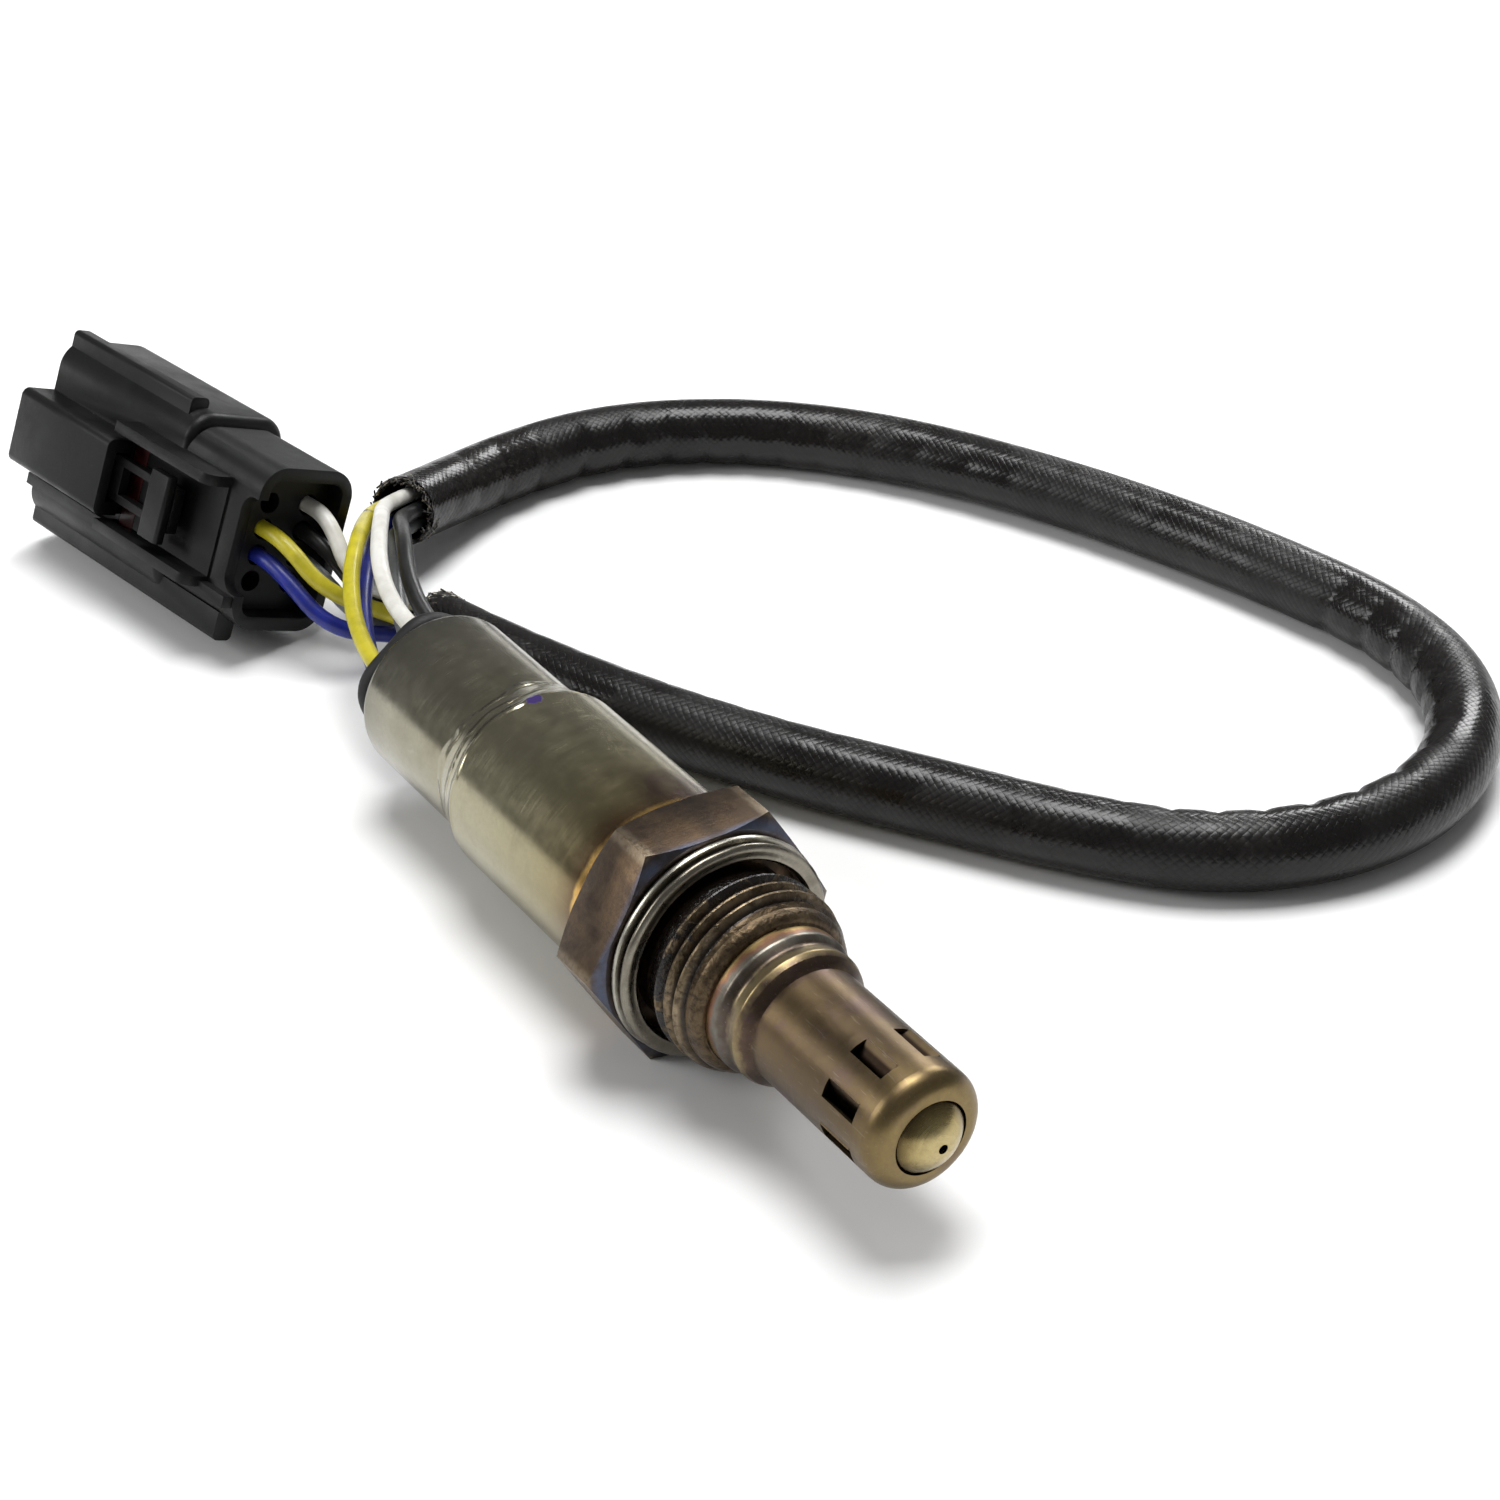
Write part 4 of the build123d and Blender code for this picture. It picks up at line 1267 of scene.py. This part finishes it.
@dataclass
class GrommetBulge:
    """Rubber squeezed out behind the sleeve's rolled rim, lobed between the leads."""

    inner_r: float = 6.3
    outer_r: float = 8.3
    front_x: float = -53.3
    rear_x: float = -55.6
    sides: int = 90
    lobe: float = 0.8
    lobe_turn: float = 100.0

    def build(self, material: bpy.types.Material) -> None:
        """Model the bulge.

        Args:
            material: the grommet's rubber.
        """
        i, o, front, rear = self.inner_r, self.outer_r, self.front_x, self.rear_x
        back = [(rear + 0.3, i), (rear + 0.05, i + 0.3), (rear, i + 0.7), (rear + 0.1, i + 1.15)]
        side = [(rear + 0.4, o - 0.3), (rear + 0.85, o - 0.05), (rear + 1.3, o)]
        rim = [(front - 0.45, o - 0.15), (front - 0.12, o - 0.5), (front, o - 0.9)]
        ring = turn_up("grommet_bulge", [(front, i), *back, *side, *rim], self.sides)

        def lobed(point: Vector) -> Vector:
            """Let the outer side swell and sink between the leads.

            Args:
                point: a point of the ring.

            Returns:
                Its new place.
            """
            r = hypot(point.y, point.z) / MM
            if r < i + 0.2:
                return point
            dip = cos(len(LEADS) * atan2(point.z, point.y) - radians(self.lobe_turn)) - 1
            share = 1 + self.lobe * dip / (2 * r)
            return Vector((point.x, point.y * share, point.z * share))

        move_points(ring, lobed)
        smooth(ring, 60)
        ring.data.materials.append(material)
        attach(ring, "root")
        log.info("built %s", ring.name)


@dataclass
class SensorBody:
    """Everything of the sensor itself: shell, gasket, tubes, inner parts, rear sleeve and grommet."""

    outer_tube: TintedSteel = TintedSteel(
        "tube_heat_tinted_steel",
        # the darker bands in the grooves at 9.3-9.8 mm and 11.9-12.5 mm are dirt and painted shade; the
        # paler band over the bead at 10.4-11.2 mm is a painted highlight
        ((3.0, "86784e"), (7.0, "94865a"), (7.7, "a08a58"), (8.2, "8d6650"), (8.7, "76746a"),
         (9.3, "5d564c"), (9.8, "4f453b"), (10.4, "8d8062"), (11.2, "8a7b58"), (11.9, "54463a"),
         (12.5, "463a30"), (13.2, "6a5a41"), (15.5, "64553d"), (18.5, "5f513c"), (22.0, "5c4f3b"),
         (26.0, "60523a"), (28.5, "6f5f41"), (30.1, "83724c")),
        wander=0.9, blotch="57444e", blotch_share=0.42, blotch_scale=0.26, rough=(0.3, 0.42),
        # painted shade inside the tube and its slots, within 5.5 mm of the axis and behind 28 mm
        inside=(5.5, 28.0, "2c231c"))
    inner_tube: TintedSteel = TintedSteel(
        "tip_brass_tinted_steel",
        # the dark band at 29.9 mm, round the dome's edge under the outer tube's rim, is painted shade in
        # the gap
        ((-1.0, "7a6c50"), (24.0, "6d5f42"), (29.9, "4a3f2a"), (30.5, "7c6d48"), (31.0, "a59567"),
         (31.8, "bdad7f")),
        wander=0.3, blotch="6d5a3a", blotch_share=0.4, rough=(0.2, 0.32))
    rear_sleeve: TintedSteel = TintedSteel(
        "sleeve_tinted_steel",
        ((-53.2, "7f7d73"), (-48.0, "979485"), (-38.0, "96927f"), (-33.5, "a09b84"), (-26.0, "9d987f"),
         (-18.0, "989072"), (-14.0, "8f8464"), (-11.9, "7c6c50"), (-11.0, "6c5840"), (-10.6, "cba663"),
         (-9.7, "c9974b"), (-8.8, "8d6434")),
        wander=0.55, blotch="77705c", blotch_share=0.3, blotch_scale=0.22, rough=(0.16, 0.28),
        turning=0.003,
        spots=(((-13.2, 2.6, 9.5), 1.4, 3.6, "453230", 0.9), ((-12.0, 6.0, 7.6), 0.8, 3.4, "54402f", 0.7),
               ((-11.0, -4.5, 8.7), 0.6, 3.0, "5f4632", 0.6)),
        creases=((-32.9, 0.7), (-34.6, 0.55), (-36.7, 0.6)),
        paint=((-32.4, -0.35, 9.4), 0.95, "35275f"))
    sprung: Plating = Plating("ring_sprung_steel", "b9b6ad", "7d7a72")
    packing: Plating = Plating("packing_nickel_plate", "c2bfb4", "8e8a7e", rough=(0.3, 0.45))
    tinned: Plating = Plating("terminal_tin_plate", "cfcdc6", "9a978f", rough=(0.2, 0.34))
    alumina: Mineral = Mineral("alumina_fired", "ece8df", "cfc8b8", rough=(0.42, 0.6))
    talc: Mineral = Mineral("talc_pressed", "d9d6c8", "b8b3a2", rough=(0.8, 0.92), grain=4.0, depth=0.04)
    rubber: MouldedPlastic = MouldedPlastic("grommet_black_rubber", "1b1b1b", "101010", dust="55534e",
                                            rough=(0.5, 0.68), grain=4.0, depth=0.02, specular=0.35)

    def build(self) -> None:
        """Build the dressed pieces and give the carried-over nodes their finishes."""
        ThreadedShell().build()
        CrushGasket().build()
        for name, finish in (("outer_protection_tube", self.outer_tube),
                             ("inner_protection_tube", self.inner_tube), ("rear_sleeve", self.rear_sleeve),
                             ("sensing_element", self.alumina), ("front_ceramic", self.alumina),
                             ("rear_bush", self.alumina), ("terminal_holder", self.alumina),
                             ("talc_packing", self.talc), ("packing_ring", self.packing),
                             ("holder_ring", self.sprung)):
            dress(name, finish.material())
        squeezed = self.rubber.material()
        dress("grommet", squeezed)
        GrommetBulge().build(squeezed)
        for lead in LEADS:
            dress(f"element_contact_{lead.name}", self.tinned.material())
            dress(f"plug_terminal_{lead.name}", self.tinned.material())


# ---------------------------------------------------------------- plug

@dataclass
class Plug:
    """The eight-way plug: housing with softened moulded edges, lock, seals and rear cap."""

    edge: float = 0.22
    doubled: float = 2e-6
    flat_deg: float = 1.5
    body: MouldedPlastic = MouldedPlastic("plug_black_plastic", "0e0e0f", "080808", rough=(0.36, 0.52),
                                          specular=0.25)
    scuffed: MouldedPlastic = MouldedPlastic("plug_scuffed_edges", "1c1c1c", "0f0f0f", dust="8a8883",
                                             dust_share=0.8, rough=(0.3, 0.46), specular=0.35)
    lock: MouldedPlastic = MouldedPlastic("lock_red_plastic", "4a1416", "2c0c0e", dust="6a4a48",
                                          rough=(0.3, 0.45))
    cover: MouldedPlastic = MouldedPlastic("cover_black_plastic", "101011", "0a0a0a", specular=0.27)

    def copied(self) -> bpy.types.Object:
        """A free copy of the housing's node, with its doubled points merged and its flats in one piece.

        Returns:
            The copy.
        """
        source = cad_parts["plug_housing"]
        copy = linked("plug_housing_moulded", source.data.copy())
        take(copy)
        bpy.ops.object.mode_set(mode="EDIT")
        bpy.ops.mesh.select_mode(type="VERT")
        bpy.ops.mesh.select_all(action="SELECT")
        bpy.ops.mesh.remove_doubles(threshold=self.doubled)
        bpy.ops.mesh.dissolve_limited(angle_limit=radians(self.flat_deg))
        bpy.ops.object.mode_set(mode="OBJECT")
        return copy

    def housing(self) -> bpy.types.Object:
        """Soften the housing's moulded edges, which get a scuffed finish of their own.

        Returns:
            The housing.
        """
        copy = self.copied()
        copy.data.materials.clear()
        for finish in (self.body, self.scuffed):
            copy.data.materials.append(finish.material())
        for face in copy.data.polygons:
            face.material_index = 0
        soften(copy, self.edge, 40.0, edge_slot=1)
        smooth(copy, 30)
        return copy

    def build(self) -> None:
        """Build the housing and dress the plug's other nodes."""
        copy = self.housing()
        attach(copy, "root")
        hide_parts("plug_housing")
        log.info("built %s", copy.name)
        dress("terminal_lock", self.lock.material())
        dress("seal_cover", self.cover.material())
        for name in ("ring_seal", "wire_seal"):
            dress(name, MouldedPlastic(f"{name}_silicone", "8a4a2c", "6d3820", dust="a08070",
                                       rough=(0.4, 0.55), depth=0.006).material())


# ---------------------------------------------------------------- leads and braid

class Jacket(Enum):
    """Insulation colours, as body and shade."""

    YELLOW = ("c3b72a", "a1971c")
    WHITE = ("dddcd6", "c6c4bb")
    BLACK = ("1d1d1e", "111112")
    GREY = ("77797a", "5c5e60")
    BLUE = ("1a2788", "121a5e")


@dataclass(frozen=True)
class Lead:
    """One lead: where it sits in the bundle, and how it turns into the plug."""

    name: str
    angle: float
    row: int
    height: float
    turn: Point
    exit_length: float
    length: float

    @property
    def jacket(self) -> Jacket:
        """Its insulation."""
        return Jacket[self.name.upper()]


LEADS = (
    Lead("yellow", 20.0, -1, 1.5, (-80.32, 0.86, -1.9), 1.67, 398.6),
    Lead("white", 92.0, 1, 4.5, (-80.65, 4.18, -1.63), 1.5, 385.4),
    Lead("black", 164.0, 1, 1.5, (-80.71, 6.32, -5.29), 1.7, 374.2),
    Lead("grey", 236.0, 1, -1.5, (-80.83, 5.06, -7.06), 1.5, 378.8),
    Lead("blue", 308.0, -1, -1.5, (-78.19, 0.18, -5.53), 1.53, 396.0),
)

# middle of the five leads from the sensor to the braid: x, y, z and bundle radius, mm
SENSOR_RUN = (
    (-43.2, 0.0, 0.0, 4.70), (-53.0, 0.04, 0.04, 4.70), (-58.6, 0.0, 0.2, 4.45), (-64.8, 0.7, 1.4, 3.75),
    (-71.0, 2.9, 2.7, 3.15), (-76.9, 6.1, 3.1, 2.70), (-83.0, 9.4, 1.5, 2.30), (-88.6, 12.2, -0.8, 2.00),
    (-94.0, 15.6, -3.1, 1.85),
)

# middle of the braid from its end near the sensor to its end near the plug, mm
BRAID_RUN = (
    (-95.7, 18.4, -3.81), (-101.2, 27.4, -6.1), (-104.6, 37.6, -6.9), (-104.9, 48.6, -6.9),
    (-101.0, 59.4, -6.9), (-92.8, 70.0, -6.9), (-79.6, 79.8, -6.9), (-63.2, 87.4, -6.9),
    (-47.4, 92.6, -6.9), (-32.1, 96.2, -6.9), (-19.6, 98.1, -6.9), (-7.0, 95.8, -6.9), (3.3, 88.2, -6.9),
    (9.2, 76.8, -6.9), (9.5, 64.1, -6.9), (4.2, 52.4, -6.9), (-5.8, 44.1, -6.9), (-17.4, 36.9, -6.9),
    (-32.5, 27.4, -6.9), (-50.5, 19.0, -6.9), (-67.0, 13.35, -6.9), (-75.4, 11.41, -6.9),
)

# where the leads leave the braid for the plug, and their bundle's radius there, mm
BUNDLE_END = (-77.8, 10.85, -6.9)
BUNDLE_R = 1.85

# a dark patch on the yellow lead, mm
LEAD_MARK = (-91.9, 11.8, -0.3)

# the plug's own frame: its mating end's middle, and its length, width and thickness directions
PLUG_ORIGIN = Vector((-126.71, -5.64, 0.25337))
PLUG_X = Vector((0.98769, 0.15643, 0.0))
PLUG_Y = Vector((-0.14453, 0.91251, -0.38268))
PLUG_Z = Vector((-0.05986, 0.37797, 0.92388))
ROW_STEP = 2.6

# stations along the plug, mm: its rear end, where a lead runs straight in its rear cap, and the
# bottom of the terminals' barrels
PLUG_LENGTH = 40.0
STRAIGHT_X = 36.0
STRAIGHT_RISE = 0.03
BARREL_X = 21.0


def beside(route: Sequence[tuple[float, float, float, float]], left: float, up: float) -> list[Point]:
    """Move a route sideways and up at every point by that point's own bundle radius.

    Args:
        route: x, y, z and bundle radius of the bundle's middle.
        left: share of the radius to the route's left.
        up: share of the radius upwards.

    Returns:
        The moved points.
    """
    moved = []
    for i, (x, y, z, spread) in enumerate(route):
        before = Vector(route[max(i - 1, 0)][:2])
        after = Vector(route[min(i + 1, len(route) - 1)][:2])
        here = Vector((x, y))
        headings = [run.normalized() for run in (here - before, after - here) if run.length > 0]
        mean = sum(headings, Vector((0, 0))).normalized()
        side = Vector((-mean.y, mean.x)) * (left * spread / max(mean.dot(headings[0]), 0.5))
        moved.append((x + side.x, y + side.y, z + up * spread))
    return moved


def smooth_line(name: str, points: Sequence[Point]) -> bpy.types.Object:
    """A cord's line: one open spline with the route's points as its control points.

    Args:
        name: name of the curve object.
        points: control points in millimetres.

    Returns:
        The curve object, with no thickness yet.
    """
    curve = bpy.data.curves.new(name, "CURVE")
    curve.dimensions = "3D"
    curve.resolution_u = 12
    add_spline(curve, [(x * MM, y * MM, z * MM) for x, y, z in points])
    return linked(name, curve)


@dataclass
class BraidMouth:
    """Cut yarn ends and varnish drops round one mouth of the braid."""

    name: str
    place: Vector
    ahead: Vector
    pale: str
    yarn_r: float = 0.11
    yarns: int = 150
    ring_r: tuple[float, float] = (3.55, 3.95)
    slant: tuple[float, float] = (0.15, 0.4)
    reach: tuple[float, float] = (0.15, 0.9)
    splay: tuple[float, float] = (-0.5, 0.25)
    stray_share: float = 0.12
    stray_reach: float = 1.7

    def yarn(self, dice: random.Random) -> list[Vector]:
        """Lay one yarn from inside the braid's wall to its loose end.

        Args:
            dice: where its place and length come from.

        Returns:
            Its control points, in metres.
        """
        side = Vector((0, 0, 1)).cross(self.ahead).normalized()
        rise = self.ahead.cross(side)
        angle = dice.uniform(0, 2 * pi)
        slant = dice.choice((-1, 1)) * dice.uniform(*self.slant)
        r0 = dice.uniform(*self.ring_r)
        reach = dice.uniform(*self.reach) * (self.stray_reach if dice.random() < self.stray_share else 1.0)
        stations = ((-1.4, r0, angle - slant), (-0.3, r0 + 0.05, angle),
                    (reach * 0.5, r0, angle + slant * 0.4),
                    (reach, r0 + dice.uniform(*self.splay), angle + slant))
        return [self.place + self.ahead * out * MM + (side * cos(turn) + rise * sin(turn)) * r * MM
                for out, r, turn in stations]

    def build(self, dice: random.Random) -> bpy.types.Object:
        """Model all the yarns as one piece.

        Args:
            dice: where their places and lengths come from.

        Returns:
            The piece.
        """
        curve = bpy.data.curves.new(self.name, "CURVE")
        curve.dimensions = "3D"
        curve.bevel_depth = self.yarn_r * MM
        curve.bevel_resolution = 1
        curve.resolution_u = 3
        for _ in range(self.yarns):
            add_spline(curve, self.yarn(dice))
        take(linked(self.name, curve))
        bpy.ops.object.convert(target="MESH")
        ring = named(self.name)
        ring.data.materials.append(FibreEnds(f"{self.name}_yarn", self.pale).material())
        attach(ring, "root")
        log.info("built %s", ring.name)
        return ring


@dataclass
class BraidedSleeve:
    """The varnished braid round the leads, with creases at its bends and cut, frayed mouths."""

    radius: float = 4.1
    inner: float = 3.45
    sides: int = 40
    step: float = 0.8
    floor_z: float = -11.0
    length: float = 289.7
    spare: float = 0.06
    floor_gap: float = 0.02
    wall_spare: float = 0.05
    flare: float = 0.048
    flare_run: float = 3.0
    crease_pitch: float = 5.6
    crease_per_bend: float = 16.0
    crease_depth: float = 0.75
    sag_long: float = 0.08
    sag_short: float = 0.10
    yarn_seed: int = 11

    def swell(self, along: float, around: float, bend: Vector, spin: float) -> float:
        """Relief of the sleeve's surface at a place, in millimetres inwards.

        Args:
            along: distance from its start.
            around: angle round it.
            bend: curvature, with its direction in the ring's own plane.
            spin: angle of the inner side of the bend.

        Returns:
            How far the surface sinks below the full radius.
        """
        aside = (around - spin + pi) % (2 * pi) - pi
        inward = max(cos(aside), 0.0)
        wave = sin(2 * pi * along / self.crease_pitch + 1.6 * sin(along / 8.0) + 0.8 * aside)
        sag = (self.sag_short * (1 + sin(along / 7.3 + 2 * around)) * 0.5
               + self.sag_long * (1 + sin(along / 13.0 - around)) * 0.5)
        depth = min(bend.length * self.crease_per_bend, self.crease_depth)
        return sag + depth * inward * max(wave, 0.0) ** 2

    def even(self, line: Sequence[Vector]) -> list[Vector]:
        """Stations an even step apart along a line.

        Args:
            line: points of the line, in metres.

        Returns:
            The stations, with both of its ends.
        """
        count = round(run_length(line) / (self.step * MM))
        gap = run_length(line) / count
        places, walked, target = [line[0].copy()], 0.0, gap
        for a, b in zip(line, line[1:]):
            part = (b - a).length
            while part > 0 and walked + part >= target - 1e-9 and len(places) < count:
                places.append(a.lerp(b, (target - walked) / part))
                target += gap
            walked += part
        places.append(line[-1].copy())
        return places

    def rings(self, line: Sequence[Vector]) -> list[Vector]:
        """Points of the sleeve's outer surface, ring by ring along its line.

        Args:
            line: points of its smooth middle line, in metres.

        Returns:
            The points, in metres.
        """
        stations = self.even(line)
        last = len(stations) - 1
        headings = [(stations[min(i + 1, last)] - stations[max(i - 1, 0)]).normalized()
                    for i in range(last + 1)]
        points: list[Vector] = []
        for i, (place, heading) in enumerate(zip(stations, headings)):
            side = Vector((0, 0, 1)).cross(heading).normalized()
            rise = heading.cross(side)
            bend = headings[min(i + 3, last)] - headings[max(i - 3, 0)]
            spin = atan2(bend.dot(rise), bend.dot(side))
            along = i * self.step
            end = min(along, last * self.step - along)
            full = self.radius - self.spare + self.flare * max(0.0, 1 - end / self.flare_run)
            for k in range(self.sides):
                turn = 2 * pi * k / self.sides
                r = full - self.swell(along, turn, bend / (6 * self.step), spin)
                point = place + (side * cos(turn) + rise * sin(turn)) * (r * MM)
                point.z = max(point.z, (self.floor_z + self.floor_gap) * MM)
                points.append(point)
        return points

    def tube(self, line: Sequence[Vector]) -> bpy.types.Object:
        """The sleeve's wall as a mesh along its line, with UVs in millimetres.

        Args:
            line: points of its smooth middle line, in metres.

        Returns:
            The tube.
        """
        points = self.rings(line)
        faces: list[tuple[int, int, int, int]] = []
        marks: list[tuple[float, float]] = []
        facet = 2 * pi * self.radius / self.sides
        for i in range(len(points) // self.sides - 1):
            for k in range(self.sides):
                a, b = i * self.sides + k, i * self.sides + (k + 1) % self.sides
                faces.append((a, b, b + self.sides, a + self.sides))
                u0, u1 = facet * k, facet * (k + 1)
                v0, v1 = i * self.step, (i + 1) * self.step
                marks += [(u0, v0), (u1, v0), (u1, v1), (u0, v1)]
        mesh = bpy.data.meshes.new("braided_sleeve_woven")
        mesh.from_pydata(points, [], faces)
        layer = mesh.uv_layers.new(name="weave")
        for held, mark in zip(layer.data, marks):
            held.uv = mark
        piece = linked("braided_sleeve_woven", mesh)
        weld(piece)
        apply_modifier(piece, "SOLIDIFY", thickness=(self.radius - self.inner - self.wall_spare) * MM,
                       offset=-1.0)
        smooth(piece, 60)
        return piece

    def mouths(self, line: Sequence[Vector]) -> list[bpy.types.Object]:
        """Both mouths' cut yarns, one piece for each.

        Args:
            line: points of the sleeve's middle line.

        Returns:
            The pieces.
        """
        dice = random.Random(self.yarn_seed)
        # the sensor end's yarns are darker than the plug end's: painted shade where that mouth sits behind
        # the leads
        ends = (BraidMouth("braid_mouth_sensor", line[0], (line[0] - line[2]).normalized(), "6b6456"),
                BraidMouth("braid_mouth_plug", line[-1], (line[-1] - line[-3]).normalized(), "c6bfac"))
        return [mouth.build(dice) for mouth in ends]

    def build(self) -> None:
        guide = smooth_line("braid_guide", BRAID_RUN)
        line = centre_line(guide)
        bpy.data.objects.remove(guide)
        sleeve = self.tube(line)
        sleeve.data.materials.append(VarnishedBraid(girth=2 * pi * self.radius).material())
        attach(sleeve, "root")
        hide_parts("braided_sleeve")
        ends = self.mouths(line)
        2 * self.radius * MM
        log.info("built %s, %.1f mm long", sleeve.name, run_length(line) / MM)


@dataclass
class LeadLoom:
    """The five leads from the sensor through the braid to the plug."""

    wire_r: float = 0.9
    plug_bearer: str = "yellow"
    plug_pieces: tuple[str, ...] = ("plug_housing_moulded", "terminal_lock", "ring_seal", "wire_seal",
                                    "seal_cover")

    def route(self, lead: Lead) -> list[Point]:
        """The lead's points from its contact in the sensor to its terminal in the plug.

        Args:
            lead: the lead.

        Returns:
            Points in millimetres.
        """
        middle = list(SENSOR_RUN) + [(*p, BUNDLE_R) for p in (*BRAID_RUN[1:-1], BUNDLE_END)]
        points = beside(middle, cos(radians(lead.angle)), sin(radians(lead.angle)))
        points.append(lead.turn)
        y = lead.row * ROW_STEP
        entry_x = PLUG_LENGTH + lead.exit_length
        for x, rise in ((entry_x, 0.0), (STRAIGHT_X, STRAIGHT_RISE), (BARREL_X, 0.0)):
            place = PLUG_ORIGIN + PLUG_X * x + PLUG_Y * y + PLUG_Z * (lead.height + rise)
            points.append((place.x, place.y, place.z))
        return points

    def build(self) -> None:
        for lead in LEADS:
            points = self.route(lead)
            wire = smooth_line(f"wire_{lead.name}_jacket", points)
            wire.data.bevel_depth = self.wire_r * MM
            wire.data.bevel_resolution = 5
            wire.data.use_fill_caps = True
            wire.data.resolution_u = 8
            body, shade = lead.jacket.value
            mark = LEAD_MARK if lead.jacket is Jacket.YELLOW else None
            wire.data.materials.append(LeadJacket(f"lead_{lead.name}_jacket", body, shade, mark).material())
            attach(wire, "root")
            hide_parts(f"wire_{lead.name}")
            tuple(v * MM for v in points[1])
            log.info("built %s", wire.name)


# ---------------------------------------------------------------- main


def main() -> None:
    """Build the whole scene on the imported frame."""
    logging.basicConfig(level=logging.INFO, format="%(name)s: %(message)s")
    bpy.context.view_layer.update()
    Studio().build()
    SensorBody().build()
    Plug().build()
    BraidedSleeve().build()
    LeadLoom().build()
    deselect()
    log.info("size written")


if __name__ == "__main__":
    main()
